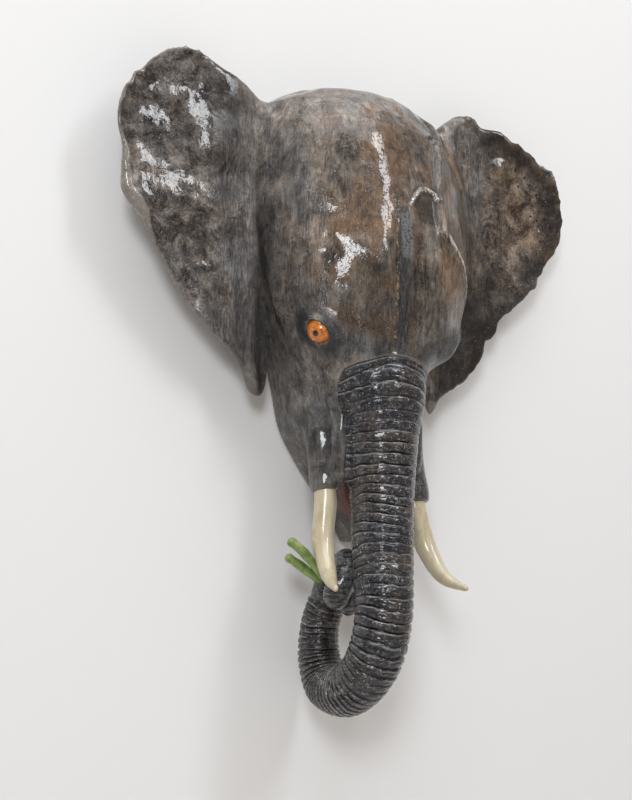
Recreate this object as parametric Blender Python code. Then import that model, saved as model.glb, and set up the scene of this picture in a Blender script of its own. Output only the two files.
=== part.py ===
"""A wall-hung ceramic elephant head: spread ears, two tusks and a curled trunk that holds two stems.

Metres, +Z up. The flat back lies in the wall plane y = 0 and the face looks along -Y, so a point
stands off the wall by -y. The origin is on the back. -X is the elephant's right side and +X its left.
"""

import math

import bmesh
import bpy
import numpy as np

# Head without ears and trunk
CROWN_Z = 0.189
HEAD_HEIGHT = 0.441
HEAD_WIDTH = 0.225
HEAD_DEPTH = 0.118

# Ears
EAR_SPAN = 0.150
EAR_HEIGHT = 0.320
EAR_DROP = 0.149
EAR_STANDOFF = 0.034
EAR_THICKNESS = 0.008
EAR_ROLL = 0.011

# Trunk
TRUNK_DROP = 0.289
TRUNK_WIDTH = 0.080
TRUNK_FOLDS = 46
FOLD_DEPTH = 0.0020

# Tusks, and the sheaths that they are set in
TUSK_LENGTHS = {"right": 0.108, "left": 0.0995}
TUSK_DIAMETER = 0.0210
TUSK_SEAT = 0.014
TUSK_TO_TRUNK = 0.0065
SHEATH_LENGTH = 0.105
SHEATH_WALL = 0.0032

# Eyes
EYE_DIAMETER = 0.027
EYE_PROUD = 0.0055
LID_HEIGHT = 0.0034

# Green stems
STEM_DIAMETER = 0.0086
STEM_LENGTHS = {"upper": 0.082, "lower": 0.075}
STEM_SPACING = 0.0010

# Mouth, a scoop behind the trunk
MOUTH_WIDTH = 0.046
MOUTH_HEIGHT = 0.072
MOUTH_DEPTH = 0.030
MOUTH_RISE = 0.012
LIP_THICKNESS = 0.007

# Clearance between a piece and its seat
FIT_GAP = 0.0003

# Head sections from the crown down to the chin: share of the height, shares of half the width on
# the right and on the left, share of the depth, and squareness of the section
HEAD_SECTIONS = [
    (0.000, 0.30, 0.30, 0.36, 2.1),
    (0.014, 0.60, 0.52, 0.53, 2.2),
    (0.048, 0.86, 0.72, 0.70, 2.4),
    (0.122, 0.94, 0.80, 0.85, 2.4),
    (0.200, 0.96, 0.89, 0.91, 2.4),
    (0.290, 0.98, 0.97, 0.96, 2.4),
    (0.370, 0.96, 1.02, 0.99, 2.4),
    (0.430, 0.93, 1.00, 1.00, 2.5),
    (0.500, 0.87, 0.91, 0.99, 2.7),
    (0.565, 0.79, 0.79, 0.96, 3.0),
    (0.633, 0.71, 0.69, 0.93, 2.7),
    (0.696, 0.66, 0.65, 0.86, 3.0),
    (0.760, 0.57, 0.57, 0.73, 2.9),
    (0.843, 0.43, 0.43, 0.53, 2.4),
    (0.893, 0.29, 0.31, 0.40, 2.0),
    (0.950, 0.15, 0.18, 0.35, 2.0),
    (1.000, 0.05, 0.08, 0.28, 2.0),
]

# Ear rims as shares: outward from the ear's root over the span, and up from the ear's middle
# over the height. The last points lie inside the head.
RIM_RIGHT = [
    (-0.04, 0.405), (0.26, 0.474), (0.54, 0.508), (0.81, 0.435), (0.985, 0.270), (0.93, 0.140),
    (0.83, 0.000), (0.645, -0.140), (0.435, -0.258), (0.22, -0.368), (0.09, -0.435), (0.00, -0.482),
    (-0.045, -0.440), (-0.06, -0.300), (-0.07, -0.150), (-0.16, 0.100),
]
RIM_LEFT = [
    (-0.06, 0.395), (0.22, 0.466), (0.46, 0.412), (0.70, 0.369), (0.90, 0.262), (0.975, 0.140),
    (0.90, 0.010), (0.68, -0.116), (0.40, -0.262), (0.145, -0.400), (-0.11, -0.512), (-0.17, -0.450),
    (-0.12, -0.220), (-0.18, 0.100),
]

# Trunk from inside the head to the foot of its curled tip, as shares of the drop: sideways,
# forward of the root and down; then its half width and half depth over half the trunk's width
TRUNK_PATH = [
    (0.000, -0.150, -0.175, 0.80, 0.55),
    (0.000, -0.035, -0.070, 1.06, 0.78),
    (0.000, 0.000, 0.030, 1.03, 0.84),
    (-0.007, 0.000, 0.183, 0.87, 0.82),
    (-0.028, 0.038, 0.408, 0.70, 0.72),
    (-0.055, 0.087, 0.593, 0.66, 0.66),
    (-0.083, 0.133, 0.772, 0.61, 0.61),
    (-0.100, 0.127, 0.855, 0.60, 0.60),
    (-0.118, 0.076, 0.936, 0.57, 0.57),
    (-0.131, -0.018, 0.986, 0.55, 0.55),
    (-0.142, -0.121, 0.974, 0.51, 0.51),
    (-0.145, -0.166, 0.900, 0.47, 0.47),
    (-0.142, -0.156, 0.772, 0.42, 0.42),
    (-0.133, -0.139, 0.724, 0.41, 0.41),
]
TIP_PATH = [
    (-0.135, -0.143, 0.750, 0.41, 0.41),
    (-0.128, -0.132, 0.690, 0.40, 0.40),
    (-0.112, -0.110, 0.635, 0.38, 0.38),
    (-0.097, -0.063, 0.600, 0.35, 0.35),
    (-0.125, -0.018, 0.625, 0.32, 0.32),
    (-0.160, -0.012, 0.680, 0.31, 0.31),
    (-0.176, -0.012, 0.738, 0.29, 0.29),
]
# The small lobe beside the tip, on the same path measures
TIP_LOBE = (-0.112, -0.030, 0.712)
LOBE_RADII = (0.11, 0.11, 0.176)

SIDES = {"right": -1, "left": 1}

# Tusk from its base to its point, as shares of its length: outward, forward and down
TUSK_PATH = [(0.000, 0.000, 0.000), (0.070, 0.095, 0.450), (0.115, 0.290, 0.690), (0.185, 0.540, 0.790)]
TUSK_TAPER = [1.00, 0.92, 0.66, 0.22]
TUSK_FLARE = {"right": 1.00, "left": 1.15}

# Share of the head's height down to each tusk's base, and of its depth out to it
TUSK_HEIGHTS = {"right": 0.895, "left": 0.917}
TUSK_FORWARD = 0.55

# Eye's place on the head: share of the height and angle round from the front
EYE_HEIGHT = 0.569
EYE_ANGLES = {"right": -44.0, "left": 56.0}

# Folds of skin on the temples: side, height over TEMPLE_HEIGHT, and the ridge's points as share of
# the head's height and degrees round from the front
TEMPLE_FOLDS = [
    (1, 1.0, [(0.05, 66), (0.12, 52), (0.20, 41), (0.27, 50), (0.36, 60), (0.43, 64), (0.64, 44)]),
    (1, 1.2, [(0.12, 74), (0.24, 74), (0.34, 78), (0.42, 78)]),
    (-1, 0.5, [(0.10, 66), (0.22, 70), (0.36, 70), (0.50, 70), (0.62, 66)]),
]
TEMPLE_HEIGHT = 0.0060
TEMPLE_SPREAD = 0.0075

# Lid round each eye as shares of the eye's diameter, and the crease round the lid
LID_REACH = 0.60
LID_CREASE_AT = 0.95
LID_CREASE_SPREAD = 0.20
LID_CREASE_SHARE = 0.3

# Hand-worked lumps of the ears: their height, and their spacing across and up the ear
LUMP_HEIGHT = 0.0012
LUMP_ACROSS = 0.068
LUMP_UP = 0.080
LUMP_DRIFT = 0.160

# Grain at which the clay shapes are fused, and the share of its faces that is kept
FUSE_GRAIN = 0.003
KEPT_FACES = 0.046

COLOURS = {
    "glaze": ((0.075, 0.062, 0.054, 1.0), 0.22),
    "ivory": ((0.72, 0.60, 0.38, 1.0), 0.25),
    "orange": ((0.66, 0.20, 0.025, 1.0), 0.18),
    "green": ((0.115, 0.21, 0.035, 1.0), 0.35),
}


def clear_scene():
    for item in list(bpy.data.objects):
        bpy.data.objects.remove(item)


def make_material(name):
    colour, roughness = COLOURS[name]
    material = bpy.data.materials.new(name)
    material.use_nodes = True
    shader = material.node_tree.nodes["Principled BSDF"]
    shader.inputs["Base Color"].default_value = colour
    shader.inputs["Roughness"].default_value = roughness
    shader.inputs["Metallic"].default_value = 0.0
    return material


def curve_through(rows, count):
    """Samples a smooth curve through the rows, evenly along it by its first three columns."""
    rows = np.asarray(rows, float)
    gaps = np.linalg.norm(np.diff(rows[:, :3], axis=0), axis=1)
    knots = np.concatenate([[0.0], np.cumsum(gaps)])
    slopes = np.gradient(rows, knots, axis=0)
    at = np.linspace(0.0, knots[-1], count)
    span = np.clip(np.searchsorted(knots, at, side="right") - 1, 0, len(gaps) - 1)
    width = gaps[span][:, None]
    u = ((at - knots[span]) / gaps[span])[:, None]
    start, end = rows[span], rows[span + 1]
    leave, arrive = slopes[span] * width, slopes[span + 1] * width
    return (
        (1 + 2 * u) * (1 - u) ** 2 * start
        + u * (1 - u) ** 2 * leave
        + u * u * (3 - 2 * u) * end
        + u * u * (u - 1) * arrive
    )


def closed_through(rows, count):
    """Samples a smooth closed curve through the rows."""
    rows = np.asarray(rows, float)
    wrapped = np.concatenate([rows[-3:], rows, rows[:4]])
    knots = np.concatenate([[0.0], np.cumsum(np.linalg.norm(np.diff(wrapped, axis=0), axis=1))])
    dense = curve_through(wrapped, 40 * len(wrapped))
    along = np.linspace(0.0, knots[-1], len(dense))
    at = np.linspace(knots[3], knots[3 + len(rows)], count, endpoint=False)
    return np.column_stack([np.interp(at, along, column) for column in dense.T])


def add_rings(bm, rings):
    """Skins closed rings of equal length into a closed shape with a fan at each end."""
    loops = [[bm.verts.new(point) for point in ring] for ring in rings]
    count = len(loops[0])
    for low, high in zip(loops, loops[1:]):
        for k in range(count):
            m = (k + 1) % count
            bm.faces.new((low[k], low[m], high[m], high[k]))
    for loop, step in ((loops[0], -1), (loops[-1], 1)):
        hub = bm.verts.new(np.mean([v.co[:] for v in loop], axis=0))
        for k in range(count):
            bm.faces.new((loop[k], loop[(k + step) % count], hub))


def object_from(bm, name):
    bmesh.ops.recalc_face_normals(bm, faces=bm.faces)
    mesh = bpy.data.meshes.new(name)
    bm.to_mesh(mesh)
    bm.free()
    item = bpy.data.objects.new(name, mesh)
    bpy.context.scene.collection.objects.link(item)
    return item


def finish_piece(item, material):
    item.data.materials.clear()
    item.data.materials.append(material)
    item.data.shade_smooth()
    return item


def hide_tool(item):
    item.hide_render = True
    item.display_type = "WIRE"


def combine(item, tool, operation):
    modifier = item.modifiers.new(tool.name, "BOOLEAN")
    modifier.operation = operation
    modifier.solver = "EXACT"
    modifier.object = tool
    hide_tool(tool)


def head_row(share):
    """Right and left half width, depth and squareness of the head's section, in metres."""
    table = np.asarray(HEAD_SECTIONS)
    right, left, depth, power = (np.interp(share, table[:, 0], table[:, k]) for k in (1, 2, 3, 4))
    return right * HEAD_WIDTH / 2, left * HEAD_WIDTH / 2, depth * HEAD_DEPTH, power


def head_surface(share, angle):
    """Point on the head; the angle is 0 at the front and positive towards +X."""
    right, left, depth, power = head_row(share)
    side, front = math.sin(angle), max(math.cos(angle), 0.0)
    half = left if side > 0 else right
    x = half * math.copysign(abs(side) ** (2 / power), side)
    return np.array([x, -depth * front ** (2 / power), CROWN_Z - share * HEAD_HEIGHT])


def head_normal(share, angle):
    along = head_surface(share + ANGLE_STEP, angle) - head_surface(share - ANGLE_STEP, angle)
    across = head_surface(share, angle + ANGLE_STEP) - head_surface(share, angle - ANGLE_STEP)
    normal = np.cross(along, across)
    return normal / np.linalg.norm(normal) * -np.sign(normal[1])


HEAD_SIDES = 40
HEAD_RINGS = 48
BEHIND_WALL = 0.006
ANGLE_STEP = 0.02


def add_head(bm):
    """The head's bulk, from the crown to the chin, running a little behind the wall plane."""
    rings = []
    for share in np.linspace(0.0, 1.0, HEAD_RINGS):
        angles = np.linspace(-math.pi / 2, math.pi / 2, HEAD_SIDES + 1)
        ring = [head_surface(share, angle) for angle in angles]
        behind = np.array([0.0, BEHIND_WALL, 0.0])
        rings.append(ring + [ring[-1] + behind, ring[0] + behind])
    add_rings(bm, rings)


# The ears' root lines as a share of half the head's width, and the middle of each ear
EAR_ROOT = 0.89
EAR_HUB = (0.40, 0.06)
EAR_WAVES = 7
EAR_WAVE = 0.0022
EAR_DISH = 0.006
RIM_POINTS = 96
LAYER_SHARES = [0.12, 0.3, 0.5, 0.68, 0.82, 0.92, 0.975, 1.0]


def ear_root():
    """Distance of the ears' root lines from the middle."""
    return EAR_ROOT * HEAD_WIDTH / 2


def add_ear(bm, rim, side):
    """A dished slab whose rim rolls forward; side is -1 for the right ear and 1 for the left."""
    outline = closed_through(rim, RIM_POINTS)
    size = np.array([EAR_SPAN, EAR_HEIGHT])
    start = np.array([ear_root(), CROWN_Z - EAR_DROP])
    hub = start + np.array(EAR_HUB) * size
    points = start + outline * size
    turn = np.linspace(0.0, 2 * math.pi, len(points), endpoint=False)

    def layer(share, face):
        flat = hub + (points - hub) * share
        outer = np.clip((flat[:, 0] - start[0]) / EAR_SPAN, 0.0, 1.0)
        roll = EAR_ROLL * share ** 6 * outer ** 0.5
        wave = EAR_WAVE * share ** 2 * np.sin(EAR_WAVES * turn) * outer
        off = EAR_STANDOFF - EAR_DISH * np.sin(math.pi * outer) + roll + wave
        half = EAR_THICKNESS / 2 * (1 - share ** 14) ** 0.5
        return np.column_stack([side * flat[:, 0], -(off + face * half), flat[:, 1]])

    front = [layer(share, 1) for share in LAYER_SHARES]
    back = [layer(share, -1) for share in LAYER_SHARES[-2::-1]]
    add_rings(bm, front + back)


ROOT_SHARE = 0.650
ROOT_INSET = 0.022


def trunk_root():
    """Middle of the trunk where it leaves the face."""
    front = head_surface(ROOT_SHARE, 0.0)
    return front + np.array([0.0, ROOT_INSET, 0.0])


def on_trunk(place):
    """A place given as shares of the trunk's drop, in metres."""
    side, forward, down = place
    return trunk_root() + np.array([side, -forward, -down]) * TRUNK_DROP


def trunk_rows(path, count):
    """Points along the trunk with its half width and half depth there."""
    rows = [(*on_trunk(row[:3]), row[3] * TRUNK_WIDTH / 2, row[4] * TRUNK_WIDTH / 2) for row in path]
    return curve_through(rows, count)


def tube_points(rows, at, angle, inset):
    """Points on a swept tube. at is the place along the rows; angle 0 is the outer side of the curl."""
    tangents = np.gradient(rows[:, :3], axis=0)
    index = np.clip(at, 0, len(rows) - 1)
    knots = np.arange(len(rows))
    row = np.column_stack([np.interp(index, knots, column) for column in rows.T])
    tangent = np.column_stack([np.interp(index, knots, column) for column in tangents.T])
    tangent /= np.linalg.norm(tangent, axis=1)[:, None]
    side = np.array([1.0, 0.0, 0.0]) - tangent[:, :1] * tangent
    side /= np.linalg.norm(side, axis=1)[:, None]
    front = np.cross(tangent, side)
    width = (row[:, 3] - inset) * np.sin(angle)
    depth = (row[:, 4] - inset) * np.cos(angle)
    return row[:, :3] + side * width[:, None] + front * depth[:, None]


TRUNK_SIDES = 14
FOLD_ARCH = 8.0
ARCH_FADES = 3.2


def add_trunk(bm):
    """The folded trunk: a tube of rings that are alternately a crest and a groove."""
    rows = trunk_rows(TRUNK_PATH, 200)
    angle = np.linspace(0.0, 2 * math.pi, TRUNK_SIDES, endpoint=False)
    rings = []
    for step in range(2 * TRUNK_FOLDS + 1):
        share = step / (2 * TRUNK_FOLDS)
        arch = FOLD_ARCH * max(1 - share * ARCH_FADES, 0.0)
        at = FOLD_ARCH + share * (len(rows) - 1 - FOLD_ARCH) - arch * np.cos(angle)
        rings.append(tube_points(rows, at, angle, FOLD_DEPTH * (step % 2)))
    add_rings(bm, rings)


def add_tube(bm, rows, sides, inset=0.0):
    angle = np.linspace(0.0, 2 * math.pi, sides, endpoint=False)
    rings = [tube_points(rows, np.full(sides, step), angle, inset) for step in range(len(rows))]
    add_rings(bm, rings)


def add_ball(bm, centre, radii, sides):
    made = bmesh.ops.create_uvsphere(bm, u_segments=sides, v_segments=sides // 2 + 2, radius=1.0)
    for vertex in made["verts"]:
        vertex.co = np.asarray(centre) + np.asarray(vertex.co) * radii


def tusk_base(name):
    """Where a tusk leaves its sheath; it clears the trunk's side there."""
    side = SIDES[name]
    z = CROWN_Z - TUSK_HEIGHTS[name] * HEAD_HEIGHT
    rows = trunk_rows(TRUNK_PATH, 200)
    beside = rows[np.argmin(abs(rows[:120, 2] - z))]
    x = side * (beside[3] + TUSK_TO_TRUNK + TUSK_DIAMETER / 2)
    return np.array([x, -TUSK_FORWARD * HEAD_DEPTH, z])


def sheath_axis(name):
    """Direction from a tusk's base up its sheath."""
    side = SIDES[name]
    axis = np.array([side * -0.04, 0.10, 1.0])
    return axis / np.linalg.norm(axis)


def tusk_rows(name, count):
    side = SIDES[name]
    base = tusk_base(name)
    seat = base + sheath_axis(name) * TUSK_SEAT
    rows = [(*seat, TUSK_DIAMETER / 2, TUSK_DIAMETER / 2)]
    for (out, forward, down), taper in zip(TUSK_PATH, TUSK_TAPER):
        place = base + np.array([side * out * TUSK_FLARE[name], -forward, -down]) * TUSK_LENGTHS[name]
        rows.append((*place, taper * TUSK_DIAMETER / 2, taper * TUSK_DIAMETER / 2))
    return curve_through(rows, count)


# Share of the sheath's length up from its mouth, and its radius over the mouth's
SHEATH_SWELL = [(1.0, 1.75), (0.75, 1.55), (0.5, 1.22), (0.25, 1.04), (0.06, 1.0), (0.0, 0.93)]


def add_sheath(bm, name):
    base, axis = tusk_base(name), sheath_axis(name)
    mouth = TUSK_DIAMETER / 2 + SHEATH_WALL
    rows = []
    for share, swell in SHEATH_SWELL:
        place = base + axis * SHEATH_LENGTH * share
        rows.append((*place, mouth * swell, mouth * swell))
    add_tube(bm, curve_through(rows, 16), 20)


EYE_SIDES = 16


def eye_centre(name):
    angle = math.radians(EYE_ANGLES[name])
    normal = head_normal(EYE_HEIGHT, angle)
    return head_surface(EYE_HEIGHT, angle) + normal * (LID_HEIGHT + EYE_PROUD - EYE_DIAMETER / 2)


STEM_GRIP = (-0.172, -0.080, 0.639)
# Where the lower stem lies from the upper one at the grip
STEM_UNDER = (0.03, 0.95, -0.27)
# Each stem from its free end through the grip, as shares of its length from the grip: +X and +Z
STEM_COURSES = {
    "upper": [(-0.440, 0.411), (-0.263, 0.280), (-0.122, 0.133), (0.0, 0.0), (0.338, -0.206)],
    "lower": [(-0.460, 0.290), (-0.312, 0.198), (-0.157, 0.093), (0.0, 0.0), (0.400, -0.223)],
}
# Rounding of an end: how far in from the end and how fat, over the radius
STEM_END = [(0.0, 0.60), (0.12, 0.88), (0.38, 1.0)]
STEM_SIDES = 10


def toward(direction):
    return np.asarray(direction) / np.linalg.norm(direction)


def stem_rows(name, grow=0.0):
    """A bowed stem with rounded ends, from its free end down through the grip."""
    grip = on_trunk(STEM_GRIP)
    if name == "lower":
        grip = grip + toward(STEM_UNDER) * (STEM_DIAMETER + STEM_SPACING)
    radius = STEM_DIAMETER / 2 + grow
    length = STEM_LENGTHS[name]
    course = [grip + np.array([across, 0.0, up]) * length for across, up in STEM_COURSES[name]]
    course[0] = course[0] + toward(course[0] - course[1]) * grow
    course[-1] = course[-1] + toward(course[-1] - course[-2]) * grow
    rows = curve_through([(*place, radius, radius) for place in course], 9)
    caps = []
    for end, inner in ((rows[0], rows[1]), (rows[-1], rows[-2])):
        step = toward(inner[:3] - end[:3]) * radius
        caps.append([(*(end[:3] + step * at), radius * fat, radius * fat) for at, fat in STEM_END])
    return np.array(caps[0] + [tuple(row) for row in rows[1:-1]] + caps[1][::-1])


def distance_to(points, places):
    """Least distance of each point to a run of places."""
    nearest = np.full(len(points), np.inf)
    for place in places:
        nearest = np.minimum(nearest, np.linalg.norm(points - place, axis=1))
    return nearest


def temple_ridge(points, knots, side):
    knots = np.asarray(knots, float)
    shares = np.linspace(knots[0, 0], knots[-1, 0], 60)
    turns = np.interp(shares, knots[:, 0], knots[:, 1])
    places = [head_surface(s, side * math.radians(a)) for s, a in zip(shares, turns)]
    return np.exp(-((distance_to(points, places) / TEMPLE_SPREAD) ** 2))


def carve(points, normals):
    """Presses lids, temple folds and the hand-worked lumps of the ears into the fused clay."""
    push = np.zeros(len(points))
    for angle in EYE_ANGLES.values():
        eye = head_surface(EYE_HEIGHT, math.radians(angle))
        reach = np.linalg.norm(points - eye, axis=1) / EYE_DIAMETER
        push += LID_HEIGHT * np.exp(-((reach / LID_REACH) ** 4))
        crease = np.exp(-(((reach - LID_CREASE_AT) / LID_CREASE_SPREAD) ** 2))
        push -= LID_CREASE_SHARE * LID_HEIGHT * crease
    for side, height, knots in TEMPLE_FOLDS:
        push += height * TEMPLE_HEIGHT * temple_ridge(points, knots, side)
    x, z = points[:, 0], points[:, 2]
    turn = 2 * math.pi
    on_ear = np.clip((abs(x) - ear_root()) / EAR_ROLL, 0.0, 1.0)
    across = np.sin(turn * x / LUMP_ACROSS + 1.6 * np.sin(turn * z / LUMP_DRIFT))
    up = np.sin(turn * z / LUMP_UP + 1.9 * np.sin(turn * x / LUMP_DRIFT + 1.0))
    push += LUMP_HEIGHT * on_ear * across * up
    return points + normals * push[:, None]


def fused_clay():
    """Head, ears, sheaths and trunk tip as one smooth body."""
    bm = bmesh.new()
    add_head(bm)
    add_ear(bm, RIM_RIGHT, -1)
    add_ear(bm, RIM_LEFT, 1)
    add_sheath(bm, "right")
    add_sheath(bm, "left")
    add_tube(bm, trunk_rows(TIP_PATH, 30), 16)
    add_ball(bm, on_trunk(TIP_LOBE), np.array(LOBE_RADII) * TRUNK_WIDTH, 12)
    rough = object_from(bm, "rough_clay")
    fuse = rough.modifiers.new("fuse", "REMESH")
    fuse.mode = "VOXEL"
    fuse.voxel_size = FUSE_GRAIN
    soften = rough.modifiers.new("soften", "SMOOTH")
    soften.factor = 0.5
    soften.iterations = 10
    bpy.context.view_layer.update()
    graph = bpy.context.evaluated_depsgraph_get()
    mesh = bpy.data.meshes.new_from_object(rough.evaluated_get(graph))
    bpy.data.objects.remove(rough)
    points = np.array([v.co[:] for v in mesh.vertices])
    normals = np.array([v.normal[:] for v in mesh.vertices])
    mesh.vertices.foreach_set("co", carve(points, normals).ravel())
    body = bpy.data.objects.new("elephant_head", mesh)
    bpy.context.scene.collection.objects.link(body)
    return body


def make_tool(name, build):
    bm = bmesh.new()
    build(bm)
    return object_from(bm, name)


def wall_block(bm):
    """Everything behind the wall plane."""
    side = 4 * HEAD_HEIGHT
    bmesh.ops.create_cube(bm, size=side)
    for vertex in bm.verts:
        vertex.co.y += side / 2


LIP_SHARE = 0.90
MOUTH_SIDES = 20


def mouth_scoop(bm):
    lip = head_surface(LIP_SHARE, 0.0)
    centre = lip + np.array([0.0, LIP_THICKNESS - MOUTH_DEPTH, MOUTH_RISE])
    add_ball(bm, centre, np.array([MOUTH_WIDTH / 2, MOUTH_DEPTH, MOUTH_HEIGHT / 2]), MOUTH_SIDES)


def make_head(material):
    body = fused_clay()
    facets = body.modifiers.new("facets", "DECIMATE")
    facets.ratio = KEPT_FACES
    combine(body, make_tool("wall_block", wall_block), "DIFFERENCE")
    combine(body, make_tool("mouth_scoop", mouth_scoop), "DIFFERENCE")
    combine(body, make_tool("folded_trunk", add_trunk), "UNION")
    for name in SIDES:
        radius = EYE_DIAMETER / 2 + FIT_GAP
        socket = make_tool(f"eye_socket_{name}", lambda bm: add_ball(bm, eye_centre(name), radius, EYE_SIDES))
        combine(body, socket, "DIFFERENCE")
        seat = make_tool(f"tusk_seat_{name}", lambda bm: add_tusk(bm, name, FIT_GAP))
        combine(body, seat, "DIFFERENCE")
    for name in STEM_LENGTHS:
        rows = stem_rows(name, FIT_GAP)
        groove = make_tool(f"stem_groove_{name}", lambda bm: add_tube(bm, rows, STEM_SIDES))
        combine(body, groove, "DIFFERENCE")
    return finish_piece(body, material)


TUSK_SIDES = 12


def add_tusk(bm, name, grow=0.0):
    rows = tusk_rows(name, 12)
    rows[:, 3:] += grow
    rows[0, :3] += sheath_axis(name) * grow
    add_tube(bm, rows, TUSK_SIDES)


def main():
    clear_scene()
    make_head(make_material("glaze"))
    ivory, orange, green = (make_material(name) for name in ("ivory", "orange", "green"))
    for name in SIDES:
        finish_piece(make_tool(f"tusk_{name}", lambda bm: add_tusk(bm, name)), ivory)
        centre, radius = eye_centre(name), EYE_DIAMETER / 2
        ball = make_tool(f"eye_{name}", lambda bm: add_ball(bm, centre, radius, EYE_SIDES))
        finish_piece(ball, orange)
    for name in STEM_LENGTHS:
        finish_piece(make_tool(f"stem_{name}", lambda bm: add_tube(bm, stem_rows(name), STEM_SIDES)), green)


main()
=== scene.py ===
"""A glazed ceramic elephant head hanging on a pale wall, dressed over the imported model.

Metres, +Z up. The wall plane is y = 0 and the face looks along -Y. -X is the elephant's right side,
which the camera sees from near, and +X its left.
"""

import math

import bmesh
import bpy
import numpy as np
from mathutils.bvhtree import BVHTree
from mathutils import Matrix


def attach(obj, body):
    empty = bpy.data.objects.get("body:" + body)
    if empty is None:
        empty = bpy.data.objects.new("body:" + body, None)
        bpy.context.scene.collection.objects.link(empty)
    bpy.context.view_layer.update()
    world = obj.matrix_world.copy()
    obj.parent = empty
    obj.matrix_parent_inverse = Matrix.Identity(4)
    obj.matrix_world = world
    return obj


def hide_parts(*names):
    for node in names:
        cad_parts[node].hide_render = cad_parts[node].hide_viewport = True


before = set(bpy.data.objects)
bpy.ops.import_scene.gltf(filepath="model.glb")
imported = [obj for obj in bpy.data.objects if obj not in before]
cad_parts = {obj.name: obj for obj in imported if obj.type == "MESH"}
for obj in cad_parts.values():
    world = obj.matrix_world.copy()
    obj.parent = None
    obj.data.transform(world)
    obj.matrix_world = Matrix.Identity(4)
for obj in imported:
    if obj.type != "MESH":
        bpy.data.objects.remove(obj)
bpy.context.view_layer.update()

# Head without ears and trunk; FACE_Y parts the face's front from its sides
CROWN_Z = 0.189
HEAD_HEIGHT = 0.441
HEAD_WIDTH = 0.225
HEAD_DEPTH = 0.118
FACE_Y = -0.06

# Ears, in metres; the root line lies at a share of half the head's width, and the hub at shares of the
# span and of the height
EAR_SPAN = 0.15
EAR_HEIGHT = 0.32
EAR_DROP = 0.149
EAR_STANDOFF = 0.034
EAR_THICKNESS = 0.008
EAR_ROLL = 0.011
EAR_ROOT = 0.89
EAR_HUB = (0.4, 0.06)
EAR_WAVES = 7
EAR_WAVE = 0.0022
# For the right ear (-1) and the left one (1): how far it is hollowed, how far its outer half leans back
# towards the wall, how ragged its rim is, and how far the rim is moved out; then the spike on the left rim
EAR_DISH = {-1: 0.0, 1: 0.0055}
EAR_LEAN = {-1: -0.01, 1: 0.0}
EAR_RAGGED = {-1: 0.0026, 1: 0.0036}
EAR_OUTSET = {-1: 0.0, 1: 0.0045}
EAR_SPIKE = (0.2517, 0.0878)
SPIKE_REACH = 0.0075
SPIKE_HEIGHT = 0.006
# The slab's rings from its hub to its rim, as shares of the way
EAR_LAYERS = [0.12, 0.3, 0.5, 0.64, 0.76, 0.85, 0.91, 0.955, 0.985, 1.0]

# Trunk
TRUNK_DROP = 0.289
TRUNK_WIDTH = 0.08
ROOT_SHARE = 0.65
ROOT_INSET = 0.022
FOLD_ARCH = 8.0
ARCH_FADES = 3.2
TRUNK_ROWS = 240
UPPER_ROWS = 100
TRUNK_RINGS = 840
TRUNK_ROUND = 112
# Share of the trunk's length that lies over the face, and where its skin stops following the head's
OVER_FACE = 0.42
FREE_FROM = 0.4
# Relief of a fold: its groove, the lip beside it, the finer folds and the swelling between grooves
GROOVE_DEPTH = 0.0018
GROOVE_WIDTH = 0.00062
LIP_OFF = 0.0015
LIP_WIDTH = 0.0007
LIP_RISE = 0.0003
FINE_WIDTH = 0.00055
FINE_DEPTH = 0.00055
PILLOW = 0.0003
# How far the folded skin stands over the face, sinks where the face's own skin shows, and bulges behind
# its first fold; and the radius at which the noise runs round the trunk
SKIN_LIFT = 0.0005
SKIN_SINK = 0.0026
COLLAR_BULGE = 0.0009
NOISE_RADIUS = 0.03
# Finer folds between the carved ones: how many to one fold, how far they stray and their noise
FINE_FOLDS = [(2.3, 0.7, 8), (3.7, 1.1, 9)]
# Spacing of the folds in metres by share of the trunk's length
USUAL_SPACING = 0.0098
FOLD_SPACING = np.array([
    (0.0, 0.009), (0.1, 0.0098), (0.5, 0.0098), (0.62, 0.0085), (0.72, 0.0052), (0.85, 0.005),
    (1.0, 0.0062),
])

# Tusks and sheaths
TUSK_LENGTHS = {"right": 0.108, "left": 0.0995}
TUSK_DIAMETER = 0.021
TUSK_SEAT = 0.014
TUSK_TO_TRUNK = {"right": 0.0105, "left": 0.0065}
SHEATH_LENGTH = 0.105
SHEATH_WALL = 0.0032

# Eyes: how far they stand out of the lids, their height as a share of the head's, degrees round from the
# front, the opening's lean in degrees, its half width and half length, the lids' relief and the pupil
EYE_DIAMETER = 0.027
EYE_PROUD = 0.0055
LID_HEIGHT = 0.0034
EYE_HEIGHT = 0.569
EYE_ANGLES = {"right": -44.0, "left": 56.0}
EYE_TILT = 40.0
EYE_OPEN = (0.0077, 0.0122)
EYE_REACH = 0.06
LID_TOP = 0.0066
LID_CREASE = 0.0007
SOCKET_DEPTH = 0.007
PUPIL_RADIUS = 0.003
PUPIL_AIM = {"right": (-0.1, -0.05, -0.12), "left": (0.1, -0.05, -0.12)}

# Green stems
STEM_DIAMETER = 0.0086
STEM_LENGTHS = {"upper": 0.082, "lower": 0.075}
STEM_SPACING = 0.001

# Mouth, a scoop behind the trunk
MOUTH_WIDTH = 0.046
MOUTH_HEIGHT = 0.072
MOUTH_DEPTH = 0.03
MOUTH_RISE = 0.012
LIP_THICKNESS = 0.007
LIP_SHARE = 0.9
THROAT = np.array([-0.008, -0.045, -0.213])

SIDES = {"right": -1, "left": 1}

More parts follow.
